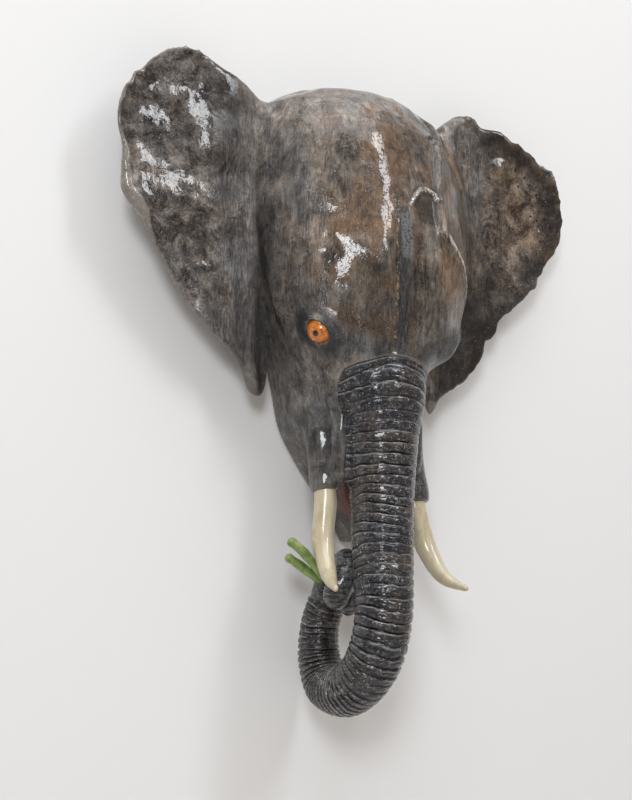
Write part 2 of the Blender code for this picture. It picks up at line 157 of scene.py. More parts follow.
# Head sections from the crown down to the chin: share of the height, shares of half the width on
# the right and on the left, share of the depth, and squareness of the section
HEAD_SECTIONS = np.array([
    (0.0, 0.3, 0.3, 0.36, 2.1),
    (0.014, 0.6, 0.54, 0.51, 2.2),
    (0.048, 0.86, 0.74, 0.64, 2.3),
    (0.122, 0.94, 0.95, 0.79, 2.3),
    (0.2, 0.96, 1.08, 0.87, 2.3),
    (0.29, 0.98, 1.13, 0.935, 2.3),
    (0.37, 0.96, 1.12, 0.985, 2.3),
    (0.43, 0.93, 1.06, 1.0, 2.4),
    (0.5, 0.87, 0.93, 0.99, 2.6),
    (0.565, 0.79, 0.79, 0.96, 2.9),
    (0.6, 0.75, 0.68, 0.94, 2.8),
    (0.633, 0.71, 0.57, 0.93, 2.7),
    (0.696, 0.66, 0.54, 0.86, 2.7),
    (0.73, 0.637, 0.53, 0.8, 2.7),
    (0.76, 0.605, 0.51, 0.73, 2.6),
    (0.8, 0.515, 0.47, 0.64, 2.4),
    (0.843, 0.41, 0.42, 0.53, 2.3),
    (0.893, 0.265, 0.31, 0.4, 2.0),
    (0.95, 0.1, 0.2, 0.34, 2.0),
    (1.0, 0.01, 0.08, 0.27, 2.0),
])

# Ear rims as shares: outward from the ear's root over the span, and up from the ear's middle over
# the height. The last points lie inside the head.
RIM_RIGHT = [
    (-0.04, 0.405), (0.26, 0.474), (0.46, 0.506), (0.58, 0.503), (0.77, 0.449), (0.905, 0.379),
    (0.977, 0.31), (0.987, 0.253), (0.954, 0.198), (0.928, 0.152), (0.93, 0.105), (0.917, 0.07),
    (0.862, 0.033), (0.817, -0.004), (0.797, -0.028), (0.747, -0.074), (0.67, -0.141),
    (0.548, -0.225), (0.399, -0.296), (0.288, -0.346), (0.182, -0.385), (0.102, -0.44),
    (0.007, -0.481), (-0.045, -0.44), (-0.06, -0.3), (-0.07, -0.15), (-0.16, 0.1),
]
RIM_LEFT = [
    (-0.06, 0.395), (0.06, 0.445), (0.175, 0.458), (0.282, 0.44), (0.322, 0.414), (0.42, 0.412),
    (0.507, 0.411), (0.557, 0.388), (0.62, 0.38), (0.676, 0.364), (0.787, 0.325), (0.899, 0.288),
    (0.923, 0.249), (0.945, 0.165), (0.949, 0.088), (0.884, 0.017), (0.812, -0.027),
    (0.679, -0.105), (0.567, -0.153), (0.464, -0.205), (0.42, -0.252), (0.354, -0.262),
    (0.319, -0.314), (0.236, -0.367), (0.05, -0.436), (-0.029, -0.459), (-0.11, -0.512),
    (-0.17, -0.45), (-0.12, -0.22), (-0.18, 0.1),
]

# Trunk from inside the head to the foot of its curled tip, as shares of the drop: sideways,
# forward of the root and down; then its half width and half depth over half the trunk's width
TRUNK_PATH = [
    (0.0, -0.15, -0.175, 0.8, 0.55),
    (0.0, -0.035, -0.07, 1.06, 0.78),
    (0.0, 0.0, 0.03, 1.03, 0.84),
    (-0.007, 0.0, 0.183, 0.87, 0.82),
    (-0.028, 0.038, 0.408, 0.7, 0.72),
    (-0.055, 0.087, 0.593, 0.66, 0.66),
    (-0.083, 0.133, 0.772, 0.61, 0.61),
    (-0.1, 0.127, 0.855, 0.6, 0.6),
    (-0.118, 0.076, 0.936, 0.57, 0.57),
    (-0.131, -0.018, 0.986, 0.55, 0.55),
    (-0.142, -0.121, 0.974, 0.51, 0.51),
    (-0.145, -0.166, 0.9, 0.47, 0.47),
    (-0.142, -0.156, 0.772, 0.42, 0.42),
    (-0.133, -0.139, 0.724, 0.41, 0.41),
]
TIP_PATH = [
    (-0.135, -0.143, 0.75, 0.41, 0.41),
    (-0.128, -0.132, 0.69, 0.4, 0.4),
    (-0.112, -0.11, 0.635, 0.38, 0.38),
    (-0.097, -0.063, 0.6, 0.35, 0.35),
    (-0.125, -0.018, 0.625, 0.32, 0.32),
    (-0.16, -0.012, 0.68, 0.31, 0.31),
    (-0.176, -0.012, 0.738, 0.29, 0.29),
]
TIP_LOBE = (-0.112, -0.03, 0.712)
LOBE_RADII = (0.11, 0.11, 0.176)

# Tusk from its base to its point, as shares of its length: outward, forward and down
TUSK_PATH = [(0.0, 0.0, 0.0), (0.07, 0.095, 0.45), (0.115, 0.29, 0.69), (0.185, 0.54, 0.79)]
TUSK_TAPER = [1.0, 0.92, 0.66, 0.22]
TUSK_FLARE = {"right": 1.0, "left": 1.28}
TUSK_HEIGHTS = {"right": 0.895, "left": 0.917}
TUSK_FORWARD = 0.55
SHEATH_GIRTH = {"right": 1.0, "left": 1.15}
SHEATH_SWELL = [(1.0, 1.6), (0.75, 1.26), (0.5, 1.1), (0.25, 1.01), (0.06, 1.0), (0.0, 0.93)]

# Stems: grip, where the lower one lies from it, and each course as shares of the stem's length
STEM_GRIP = (-0.172, -0.08, 0.639)
STEM_UNDER = (0.03, 0.95, -0.27)
STEM_COURSES = {
    "upper": [(-0.44, 0.411), (-0.263, 0.28), (-0.122, 0.133), (0.0, 0.0), (0.338, -0.206)],
    "lower": [(-0.46, 0.29), (-0.312, 0.198), (-0.157, 0.093), (0.0, 0.0), (0.4, -0.223)],
}

# Flesh that fills the corner between each sheath and the trunk, as x, y and z in metres
CORNERS = [
    [(-0.028, -0.074, -0.08), (-0.036, -0.08, -0.125), (-0.039, -0.079, -0.165), (-0.04, -0.077, -0.198)],
    [(0.026, -0.074, -0.08), (0.031, -0.08, -0.125), (0.033, -0.078, -0.16), (0.033, -0.076, -0.19)],
]
CORNER_RADIUS = 0.012

# The collar line where the trunk's first fold lies on the face, as x and z in metres, and the sides
# down to where the trunk hangs free, as z and the x on the right and on the left
COLLAR = np.array([
    (-0.062, -0.15), (-0.0539, -0.1165), (-0.0503, -0.104), (-0.0469, -0.095), (-0.0369, -0.0902),
    (-0.0237, -0.0863), (-0.0133, -0.0833), (-0.0028, -0.0822), (0.0089, -0.083), (0.0232, -0.086),
    (0.0418, -0.0922), (0.047, -0.1), (0.055, -0.15),
])
COLLAR_SIDES = np.array([
    (-0.23, -0.2, 0.2), (-0.212, -0.1, 0.1), (-0.2, -0.044, 0.036), (-0.168, -0.0445, 0.0385),
    (-0.14, -0.049, 0.0425), (-0.11, -0.054, 0.046),
])

# Folds of skin on the temples: side, height over TEMPLE_HEIGHT, spread over TEMPLE_SPREAD towards
# the face and towards the back, first at the fold's upper end and then at its lower end, and the
# ridge's points as share of the head's height and degrees round from the front
TEMPLE_FOLDS = [
    (1, 0.75, (0.5, 1.5), (1.9, 0.38),
     [(0.08, 47), (0.14, 30), (0.194, 25), (0.24, 22), (0.303, 21), (0.345, 23), (0.373, 30), (0.401, 38),
      (0.433, 45), (0.467, 54), (0.54, 54), (0.6, 50)]),
    (1, 1.2, (1.25, 0.55), (1.25, 0.55), [(0.12, 74), (0.24, 74), (0.34, 78), (0.42, 78)]),
    (-1, 0.45, (1.6, 0.8), (1.6, 0.8), [(0.1, 66), (0.22, 70), (0.36, 70), (0.5, 70), (0.62, 66)]),
]
TEMPLE_HEIGHT = 0.006
TEMPLE_SPREAD = 0.0075

# Presses of the fingers in the ears: x, z, height, and reach across and upwards, in metres
EAR_PRESSES = [
    (-0.2197, 0.085, 0.0034, 0.036, 0.016), (-0.1985, 0.056, 0.0082, 0.058, 0.0215),
    (-0.164, 0.1, 0.0034, 0.028, 0.0165), (-0.142, 0.123, 0.0036, 0.024, 0.022),
    (-0.184, 0.118, 0.0036, 0.046, 0.026), (-0.1969, 0.154, 0.0022, 0.014, 0.009),
    (-0.1339, 0.164, 0.003, 0.016, 0.018), (-0.17, 0.025, -0.0012, 0.03, 0.02),
    (-0.108, -0.108, 0.005, 0.016, 0.0125), (0.171, 0.137, 0.0032, 0.011, 0.0085),
    (0.22, 0.09, -0.003, 0.016, 0.03),
]

# Relief of the brow, in metres: what stands out and what sinks in
BULGE_RISE = 0.0004
FACET_RISE = 0.0058
STREAK_RISE = 0.004
SEAM_DEPTH = 0.0001
DIP_DEPTH = 0.0007
DENT_DEPTH = 0.0026
# How the streak rises and falls down the forehead, by share of the head's height
STREAK_SHARES = [0.04, 0.09, 0.2, 0.33, 0.42]
STREAK_LEVELS = [0.0, 0.6, 0.6, 1.0, 0.0]

# The slate stripe from side to side, and the torn arch beside it as x and z, in metres
SEAM = (-0.003, 0.012)
TEAR_ARCH = [
    (0.015, 0.06), (0.0213, 0.0678), (0.0264, 0.0737), (0.0308, 0.0776), (0.0346, 0.0786),
    (0.0408, 0.0784), (0.0463, 0.0762), (0.049, 0.0695),
]
TEAR_RISE = 0.0009
TEAR_WIDTH = 0.0016
TEAR_DEPTH = 0.0022

# Voxel and smoothing of the fused clay and of the trunk's tip, smoothing of the joins, how far the face
# sinks under the folded trunk, and the triangles that the head keeps
CLAY_GRAIN = 0.0016
SOFTENING = 18
TIP_GRAIN = 0.0011
TIP_SOFTENING = 8
JOIN_SOFTENING = 420
JOIN_LEVELS = 12
UNDER_TRUNK = 0.0032
HEAD_FACES = 194000


# Curves and noise


def curve_through(rows, count):
    """Samples a smooth curve through the rows, evenly along it by its first three columns."""
    rows = np.asarray(rows, float)
    gaps = np.linalg.norm(np.diff(rows[:, :3], axis=0), axis=1)
    knots = np.concatenate([[0.0], np.cumsum(gaps)])
    slopes = np.gradient(rows, knots, axis=0)
    at = np.linspace(0.0, knots[-1], count)
    span = np.clip(np.searchsorted(knots, at, side="right") - 1, 0, len(gaps) - 1)
    width = gaps[span][:, None]
    u = ((at - knots[span]) / gaps[span])[:, None]
    start, end = rows[span], rows[span + 1]
    leave, arrive = slopes[span] * width, slopes[span + 1] * width
    return (
        (1 + 2 * u) * (1 - u) ** 2 * start
        + u * (1 - u) ** 2 * leave
        + u * u * (3 - 2 * u) * end
        + u * u * (u - 1) * arrive
    )


def closed_through(rows, count):
    """Samples a smooth closed curve through the rows."""
    rows = np.asarray(rows, float)
    wrapped = np.concatenate([rows[-3:], rows, rows[:4]])
    knots = np.concatenate([[0.0], np.cumsum(np.linalg.norm(np.diff(wrapped, axis=0), axis=1))])
    dense = curve_through(wrapped, 40 * len(wrapped))
    along = np.linspace(0.0, knots[-1], len(dense))
    at = np.linspace(knots[3], knots[3 + len(rows)], count, endpoint=False)
    return np.column_stack([np.interp(at, along, column) for column in dense.T])


def toward(direction):
    return np.asarray(direction) / np.linalg.norm(direction)


def noise(points, size, seed):
    """Smooth noise between -1 and 1 with a bump about every size metres."""
    at = points / size + 31.7 * seed
    cell = np.floor(at).astype(np.int64)
    u = at - cell
    u = u * u * u * (u * (u * 6 - 15) + 10)
    total = np.zeros(len(points))
    for corner in np.ndindex(2, 2, 2):
        key = (cell + corner) @ np.array([73856093, 19349663, 83492791]) + 7919 * seed
        key = (key ^ (key >> 13)) * 1274126177 & 0x7FFFFFFF
        key = (key ^ (key >> 15)) * 2654435761 & 0x7FFFFFFF
        value = (key >> 8 & 0xFFFF) / 32767.5 - 1
        total += value * np.prod(np.where(corner, u, 1 - u), axis=1)
    return total


def layered(points, size, octaves, seed):
    """Noise with finer and finer octaves, each half as strong."""
    return sum(noise(points, size / 2 ** k, seed + k) / 2 ** k for k in range(octaves))


def within(values, low, high, edge):
    """1 between low and high, fading to 0 over edge outside them."""
    return np.clip((values - low) / edge + 1, 0, 1) * np.clip((high - values) / edge + 1, 0, 1)


def hump(distance, reach, power=2):
    return np.exp(-(abs(distance / reach) ** power))


# The head's form


def rounded(table, count, reach):
    """The table sampled evenly by its first column, its corners rounded over reach but not its ends."""
    at = np.linspace(0.0, 1.0, count)
    rows = np.column_stack([np.interp(at, table[:, 0], column) for column in table.T])
    wide = reach * np.clip(np.minimum(at, 1 - at) / 0.12, 0.02, 1.0)
    weights = np.exp(-(((at[:, None] - at[None, :]) / wide[:, None]) ** 2))
    return weights @ rows / weights.sum(axis=1, keepdims=True)


ROUNDED_SECTIONS = rounded(HEAD_SECTIONS, 400, 0.02)


def head_surface(share, angle):
    """Points on the head; the angle is 0 at the front and positive towards +X."""
    share, angle = np.broadcast_arrays(np.asarray(share, float), np.asarray(angle, float))
    columns = [np.interp(share, ROUNDED_SECTIONS[:, 0], ROUNDED_SECTIONS[:, k]) for k in (1, 2, 3, 4)]
    right, left, depth, power = columns
    side, front = np.sin(angle), np.maximum(np.cos(angle), 0.0)
    half = np.where(side > 0, left, right) * HEAD_WIDTH / 2
    x = half * np.sign(side) * abs(side) ** (2 / power)
    return np.stack([x, -depth * HEAD_DEPTH * front ** (2 / power), CROWN_Z - share * HEAD_HEIGHT], axis=-1)


def head_normal(share, angle):
    step = 0.02
    along = head_surface(share + step, angle) - head_surface(share - step, angle)
    across = head_surface(share, angle + step) - head_surface(share, angle - step)
    normal = toward(np.cross(along, across))
    return normal * -np.sign(normal[1])


def ring_shape(rings):
    """Vertices and faces of closed rings of equal length, with a fan at each end."""
    rings = np.asarray(rings)
    count, sides = rings.shape[:2]
    k = np.arange(sides)
    m = (k + 1) % sides
    low = (np.arange(count - 1) * sides)[:, None]
    quads = np.stack([low + k, low + m, low + sides + m, low + sides + k], axis=-1).reshape(-1, 4)
    first, last = count * sides, count * sides + 1
    top = (count - 1) * sides
    fans = [(m[i], k[i], first) for i in range(sides)]
    fans += [(top + k[i], top + m[i], last) for i in range(sides)]
    hubs = [rings[0].mean(axis=0), rings[-1].mean(axis=0)]
    return np.concatenate([rings.reshape(-1, 3), hubs]), quads.tolist() + fans


def put_in_scene(name, data):
    item = bpy.data.objects.new(name, data)
    bpy.context.scene.collection.objects.link(item)
    return item


def object_from(name, shapes):
    """One object from several shapes of vertices and faces."""
    points, faces, start = [], [], 0
    for vertices, polygons in shapes:
        points.append(vertices)
        faces += [[start + corner for corner in polygon] for polygon in polygons]
        start += len(vertices)
    mesh = bpy.data.meshes.new(name)
    mesh.from_pydata(np.concatenate(points).tolist(), [], faces)
    face_out(mesh)
    return put_in_scene(name, mesh)


def face_out(mesh):
    """Turns every face of closed shapes outwards."""
    bm = bmesh.new()
    bm.from_mesh(mesh)
    bmesh.ops.recalc_face_normals(bm, faces=bm.faces)
    bm.to_mesh(mesh)
    bm.free()


def bulk_shape():
    """The head's bulk with its flat back in the wall plane."""
    shares = np.linspace(0.0, 1.0, 180)
    angles = np.linspace(-math.pi / 2, math.pi / 2, 160)
    front = head_surface(shares[:, None], angles[None, :])
    across = np.linspace(0.0, 1.0, 60)[None, 1:-1, None]
    back = front[:, -1:, :] * (1 - across) + front[:, :1, :] * across
    return ring_shape(np.concatenate([front, back], axis=1))


def ear_root():
    """Distance of the ears' root lines from the middle."""
    return EAR_ROOT * HEAD_WIDTH / 2


def ear_shape(rim, side, seed):
    """A dished slab whose rim rolls forward; side is -1 for the right ear and 1 for the left."""
    outline = closed_through(rim, 420)
    size = np.array([EAR_SPAN, EAR_HEIGHT])
    start = np.array([ear_root(), CROWN_Z - EAR_DROP])
    hub = start + np.array(EAR_HUB) * size
    points = start + outline * size
    flat = np.column_stack([points, np.zeros(len(points))])
    ragged = EAR_RAGGED[side] * (0.6 * noise(flat, 0.012, seed) + 0.6 * noise(flat, 0.005, seed + 3))
    spike = hump(np.hypot(side * points[:, 0] - EAR_SPIKE[0], points[:, 1] - EAR_SPIKE[1]), SPIKE_REACH)
    ragged += EAR_OUTSET[side] + SPIKE_HEIGHT * spike
    away = points - hub
    points = points + away / np.linalg.norm(away, axis=1)[:, None] * ragged[:, None]
    turn = np.linspace(0.0, 2 * math.pi, len(points), endpoint=False)

    def layer(share, face):
        flat = hub + (points - hub) * share
        outer = np.clip((flat[:, 0] - start[0]) / EAR_SPAN, 0.0, 1.0)
        curled = 1.0 if side < 0 else 0.3 + 0.7 * np.clip((flat[:, 1] - 0.08) / 0.05, 0, 1)
        roll = EAR_ROLL * curled * share ** (9 if side < 0 else 6) * outer ** 0.5
        wave = EAR_WAVE * share ** 2 * np.sin(EAR_WAVES * turn) * outer
        press = 0.0014 * share ** 10 * noise(np.column_stack([points, 0 * turn]), 0.018, seed + 9)
        off = EAR_STANDOFF - EAR_DISH[side] * np.sin(math.pi * outer) + roll + wave + press
        off = off - EAR_LEAN[side] * (outer - 0.5)
        half = EAR_THICKNESS / 2 * (1 - share ** 14) ** 0.5
        return np.column_stack([side * flat[:, 0], -(off + face * half), flat[:, 1]])

    front = [layer(share, 1) for share in EAR_LAYERS]
    back = [layer(share, -1) for share in EAR_LAYERS[-2::-1]]
    return ring_shape(front + back)


def trunk_root():
    """Middle of the trunk where it leaves the face."""
    return head_surface(ROOT_SHARE, 0.0) + np.array([0.0, ROOT_INSET, 0.0])


def on_trunk(place):
    """A place given as shares of the trunk's drop, in metres."""
    side, forward, down = place
    return trunk_root() + np.array([side, -forward, -down]) * TRUNK_DROP


def trunk_rows(path, count):
    """Points along the trunk with its half width and half depth there."""
    rows = [(*on_trunk(row[:3]), row[3] * TRUNK_WIDTH / 2, row[4] * TRUNK_WIDTH / 2) for row in path]
    return curve_through(rows, count)


def tube_frame(rows, at, angle):
    """Middles of a swept tube and the ways out to its surface; angle 0 is the front."""
    tangents = np.gradient(rows[:, :3], axis=0)
    index = np.clip(at, 0, len(rows) - 1)
    knots = np.arange(len(rows))
    row = np.stack([np.interp(index, knots, column) for column in rows.T], axis=-1)
    tangent = np.stack([np.interp(index, knots, column) for column in tangents.T], axis=-1)
    tangent /= np.linalg.norm(tangent, axis=-1, keepdims=True)
    side = np.array([1.0, 0.0, 0.0]) - tangent[..., :1] * tangent
    side /= np.linalg.norm(side, axis=-1, keepdims=True)
    front = np.cross(tangent, side)
    width = row[..., 3] * np.sin(angle)
    depth = row[..., 4] * np.cos(angle)
    return row[..., :3], side * width[..., None] + front * depth[..., None]


def tube_shape(rows, sides):
    angle = np.linspace(0.0, 2 * math.pi, sides, endpoint=False)
    at = np.arange(len(rows), dtype=float)[:, None]
    middles, ways = tube_frame(rows, at, angle + 0 * at)
    return ring_shape(middles + ways)


def collar_cover(points):
    """1 where the folded trunk lies over the face, 0 on the face's own skin, with a short fade."""
    x, z = points[..., 0], points[..., 2]
    under = np.clip((np.interp(x, COLLAR[:, 0], COLLAR[:, 1]) - z) / 0.0022, 0, 1)
    right, left = (np.interp(z, COLLAR_SIDES[:, 0], COLLAR_SIDES[:, k]) for k in (1, 2))
    return under * np.clip(np.minimum(x - right, left - x) / 0.011, 0, 1)


def ball_shape(centre, radii, sides):
    """A ball of rings from its foot to its top."""
    turn = np.linspace(0.0, 2 * math.pi, sides, endpoint=False)
    tilts = np.linspace(-math.pi / 2, math.pi / 2, sides // 2 + 2)[1:-1]
    level = np.column_stack([np.cos(turn), np.sin(turn), 0 * turn])
    return ring_shape([
        np.asarray(centre) + (level * math.cos(tilt) + (0, 0, math.sin(tilt))) * radii for tilt in tilts
    ])


def tusk_base(name):
    """Where a tusk leaves its sheath; it clears the trunk's side there."""
    z = CROWN_Z - TUSK_HEIGHTS[name] * HEAD_HEIGHT
    rows = trunk_rows(TRUNK_PATH, 200)
    beside = rows[np.argmin(abs(rows[:120, 2] - z))]
    x = SIDES[name] * (beside[3] + TUSK_TO_TRUNK[name] + TUSK_DIAMETER / 2)
    return np.array([x, -TUSK_FORWARD * HEAD_DEPTH, z])


def sheath_axis(name):
    """Direction from a tusk's base up its sheath."""
    return toward([SIDES[name] * -0.04, 0.245, 1.0])


def tusk_rows(name, count):
    side = SIDES[name]
    base = tusk_base(name)
    seat = base + sheath_axis(name) * TUSK_SEAT
    rows = [(*seat, TUSK_DIAMETER / 2, TUSK_DIAMETER / 2)]
    for (out, forward, down), taper in zip(TUSK_PATH, TUSK_TAPER):
        place = base + np.array([side * out * TUSK_FLARE[name], -forward, -down]) * TUSK_LENGTHS[name]
        rows.append((*place, taper * TUSK_DIAMETER / 2, taper * TUSK_DIAMETER / 2))
    return curve_through(rows, count)


def sheath_rows(name, count):
    base, axis = tusk_base(name), sheath_axis(name)
    mouth = (TUSK_DIAMETER / 2 + SHEATH_WALL) * SHEATH_GIRTH[name]
    rows = []
    for share, swell in SHEATH_SWELL:
        rows.append((*(base + axis * SHEATH_LENGTH * share), mouth * swell, mouth * swell))
    return curve_through(rows, count)


def eye_seat(name):
    """Where an eye sits on the smooth head, and the way out there."""
    angle = math.radians(EYE_ANGLES[name])
    return head_surface(EYE_HEIGHT, angle), head_normal(EYE_HEIGHT, angle)


def eye_centre(name):
    seat, normal = eye_seat(name)
    return seat + normal * (LID_HEIGHT + EYE_PROUD - EYE_DIAMETER / 2)


def stem_rows(name, count):
    """A bowed stem from its free end down through the grip."""
    grip = on_trunk(STEM_GRIP)
    if name == "lower":
        grip = grip + toward(STEM_UNDER) * (STEM_DIAMETER + STEM_SPACING)
    radius = STEM_DIAMETER / 2
    course = [grip + np.array([across, 0.0, up]) * STEM_LENGTHS[name] for across, up in STEM_COURSES[name]]
    return curve_through([(*place, radius, radius) for place in course], count)


def round_ends(rows, ends):
    """Tube rows whose ends (0 for the first, -1 for the last) are drawn in to a round nose."""
    steps = np.sin(np.linspace(0.0, math.pi / 2, 9))
    for end in ends:
        tip, inner = rows[end], rows[end + 1 if end == 0 else end - 1]
        radius = tip[3]
        way = toward(inner[:3] - tip[:3])
        nose = []
        for share in 1 - np.sqrt(1 - steps ** 2):
            fat = radius * math.sqrt(max(1 - (1 - share) ** 2, 0.0004))
            nose.append((*(tip[:3] + way * radius * share), fat, fat))
        keep = np.linalg.norm(rows[:, :3] - tip[:3], axis=1) > radius
        body = rows[keep]
        rows = np.concatenate([nose, body]) if end == 0 else np.concatenate([body, nose[::-1]])
    return rows


# Relief of the clay


def eye_plane(points, name):
    """Each point's place across and along an eye's opening, in metres, and whether it is near."""
    seat, normal = eye_seat(name)
    up = toward(np.array([0.0, 0.0, 1.0]) - normal[2] * normal)
    across = np.cross(up, normal)
    tilt = math.radians(EYE_TILT) * SIDES[name]
    long_way = up * math.cos(tilt) + across * math.sin(tilt)
    wide_way = across * math.cos(tilt) - up * math.sin(tilt)
    local = points - seat
    return local @ wide_way, local @ long_way, np.linalg.norm(local, axis=1) < EYE_REACH


def lid_relief(points, name):
    """A lid that rises to the eyeball and sinks away outwards, with a crease round it."""
    wide, long, near = eye_plane(points, name)
    reach = np.hypot(wide / EYE_OPEN[0], long / EYE_OPEN[1])
    lid = LID_TOP * np.where(reach > 1.0, hump(reach - 1.0, 1.15, 1.6), 1.0)
    hollow = np.clip((1.02 - reach) / 0.16, 0.0, 1.0)
    crease = LID_CREASE * hump(reach - 1.85, 0.16) * np.clip(0.4 + wide / 0.012, 0, 1)
    return near * (lid * (1 - hollow) - SOCKET_DEPTH * hollow - crease)


def fold_frame(points, knots, side):
    """Distance of each point across a temple fold, towards the back, and its share along the fold."""
    knots = np.asarray(knots, float)
    shares = np.linspace(knots[0, 0], knots[-1, 0], 90)
    turns = np.radians(np.interp(shares, knots[:, 0], knots[:, 1]))
    places = head_surface(shares, side * turns)
    nearest, which = np.full(len(points), np.inf), np.zeros(len(points), int)
    for k, place in enumerate(places):
        gap = np.linalg.norm(points - place, axis=1)
        which = np.where(gap < nearest, k, which)
        nearest = np.minimum(nearest, gap)
    off = points - places[which]
    out = head_normal(shares, side * turns)[which]
    along_skin = off - (off * out).sum(axis=1)[:, None] * out
    return np.linalg.norm(along_skin, axis=1) * np.sign(off[:, 1]), which / (len(places) - 1)


def face_angle(points):
    """Degrees round the head from the front, positive towards +X."""
    return np.degrees(np.arctan2(points[:, 0], -points[:, 1]))


def head_relief(points):
    """How far each point of the head and ears stands out of, or sinks into, the smooth form."""
    x, z = points[:, 0], points[:, 2]
    share = (CROWN_Z - z) / HEAD_HEIGHT
    on_ear = np.clip((abs(x) - ear_root()) / 0.02, 0.0, 1.0)
    near_trunk = within(z, -0.21, -0.085, 0.012) * within(x, -0.056, 0.052, 0.01)
    on_face = (1 - on_ear) * (1 - 0.6 * near_trunk)
    push = on_face * (0.0006 * layered(points, 0.042, 2, 12) + 0.00014 * noise(points, 0.008, 15))
    push += on_face * 0.0001 * noise(points * np.array([1.0, 1.0, 0.25]), 0.005, 21)
    crown = within(share, -0.1, 0.085, 0.06)
    push -= on_face * crown * 0.0016 * abs(noise(points, 0.016, 31))
    flatter = points * np.array([0.45, 1.0, 1.0])
    near_ear = 0.0005 * layered(flatter, 0.024, 3, 41) + 0.00012 * noise(points, 0.006, 45)
    far_ear = 0.0011 * layered(points, 0.036, 3, 51) + 0.00022 * noise(points, 0.007, 55)
    push += on_ear * (x < 0) * near_ear
    push += on_ear * (x > 0) * far_ear
    for px, pz, height, wide, tall in EAR_PRESSES:
        push += height * hump(np.hypot((x - px) / wide, (z - pz) / tall), 1.0)
    for side, height, upper, lower, knots in TEMPLE_FOLDS:
        across, along = fold_frame(points, knots, side)
        change = np.clip((along - 0.42) / 0.22, 0, 1)
        face, back = (a + (b - a) * change for a, b in zip(upper, lower))
        steep = np.where(across > 0, back, face) * TEMPLE_SPREAD
        push += height * TEMPLE_HEIGHT * hump(across, steep)
    for name in SIDES:
        push += lid_relief(points, name)
    return push + brow_relief(points, share) + tear_relief(points)


def brow_relief(points, share):
    """Brow over the near eye: a bulge, a rising facet with a dent beside it, and a streak above them."""
    x, y, z = points.T
    seam = within(x, SEAM[0], SEAM[1], 0.0012) * within(share, 0.32, 0.61, 0.01)
    dip = hump(share - 0.325, 0.022) * within(x, -0.085, -0.012, 0.02)
    bulge = hump(share - 0.405, 0.04) * hump(x + 0.044, 0.03)
    dent = hump(np.hypot(x + 0.064, z - 0.0115), 0.0085)
    climb = np.clip((x + 0.055) / 0.031, 0, 1) ** 2 * within(x, -0.1, -0.014, 0.01)
    facet = climb * hump(z - 0.006, 0.018)
    streak = hump(x + 0.01, 0.034) * np.interp(share, STREAK_SHARES, STREAK_LEVELS)
    raised = BULGE_RISE * bulge + FACET_RISE * facet + STREAK_RISE * streak
    return (y < FACE_Y) * (raised - SEAM_DEPTH * seam - DIP_DEPTH * dip - DENT_DEPTH * dent)


def line_distance(points, line):
    """Distance of each point, seen from the front, to the nearest of the line's x and z places."""
    gap = np.full(len(points), np.inf)
    for x, z in line:
        gap = np.minimum(gap, np.hypot(points[:, 0] - x, points[:, 2] - z))
    return gap


def tear_line(points):
    """Distance to the torn arch on the far side of the forehead, and the hollow under it."""
    arch = curve_through([(a, 0.0, b) for a, b in TEAR_ARCH], 40)[:, ::2]
    x, y, z = points.T
    under = hump(x - 0.034, 0.015, 4) * hump(z - 0.06, 0.017, 3)
    return np.where(y < FACE_Y, line_distance(points, arch), np.inf), under * (y < FACE_Y)


def tear_relief(points):
    gap, under = tear_line(points)
    ragged = 1 + 1.2 * noise(points, 0.0028, 81)
    sunk = TEAR_DEPTH * under * np.clip((gap - 0.001) / 0.003, 0, 1)
    return TEAR_RISE * ragged * hump(gap, TEAR_WIDTH) - sunk


# Meshes


def vertex_points(mesh, kind="co"):
    """The vertices' places, one row each, or their normals where the kind is "normal"."""
    rows = np.empty(3 * len(mesh.vertices))
    mesh.vertices.foreach_get(kind, rows)
    return rows.reshape(-1, 3)


def move_to(mesh, points):
    mesh.vertices.foreach_set("co", points.ravel())
    mesh.update()


def push_out(mesh, push):
    """Moves each vertex out along its normal by its own amount."""
    move_to(mesh, vertex_points(mesh) + vertex_points(mesh, "normal") * push[:, None])


def shape_of(mesh):
    """A mesh's vertices and faces."""
    return vertex_points(mesh), [tuple(polygon.vertices) for polygon in mesh.polygons]


def settle(item, name):
    """The object's mesh with its modifiers applied, in a new object."""
    bpy.context.view_layer.update()
    graph = bpy.context.evaluated_depsgraph_get()
    mesh = bpy.data.meshes.new_from_object(item.evaluated_get(graph))
    bpy.data.objects.remove(item)
    return put_in_scene(name, mesh)


def soften(item, passes):
    """Adds a modifier that evens out the surface, and gives it back."""
    modifier = item.modifiers.new("soften", "SMOOTH")
    modifier.factor = 0.5
    modifier.iterations = passes
    return modifier


def fuse(item, grain, passes, name):
    """Fuses overlapping closed shapes into one smooth skin."""
    remesh = item.modifiers.new("fuse", "REMESH")
    remesh.mode = "VOXEL"
    remesh.voxel_size = grain
    soften(item, passes)
    return settle(item, name)


def thin_out(item, faces, name):
    """Drops faces where the surface is flattest until about so many triangles are left."""
    triangles = sum(len(polygon.vertices) - 2 for polygon in item.data.polygons)
    if triangles > faces:
        fewer = item.modifiers.new("fewer", "DECIMATE")
        fewer.ratio = faces / triangles
    return settle(item, name)


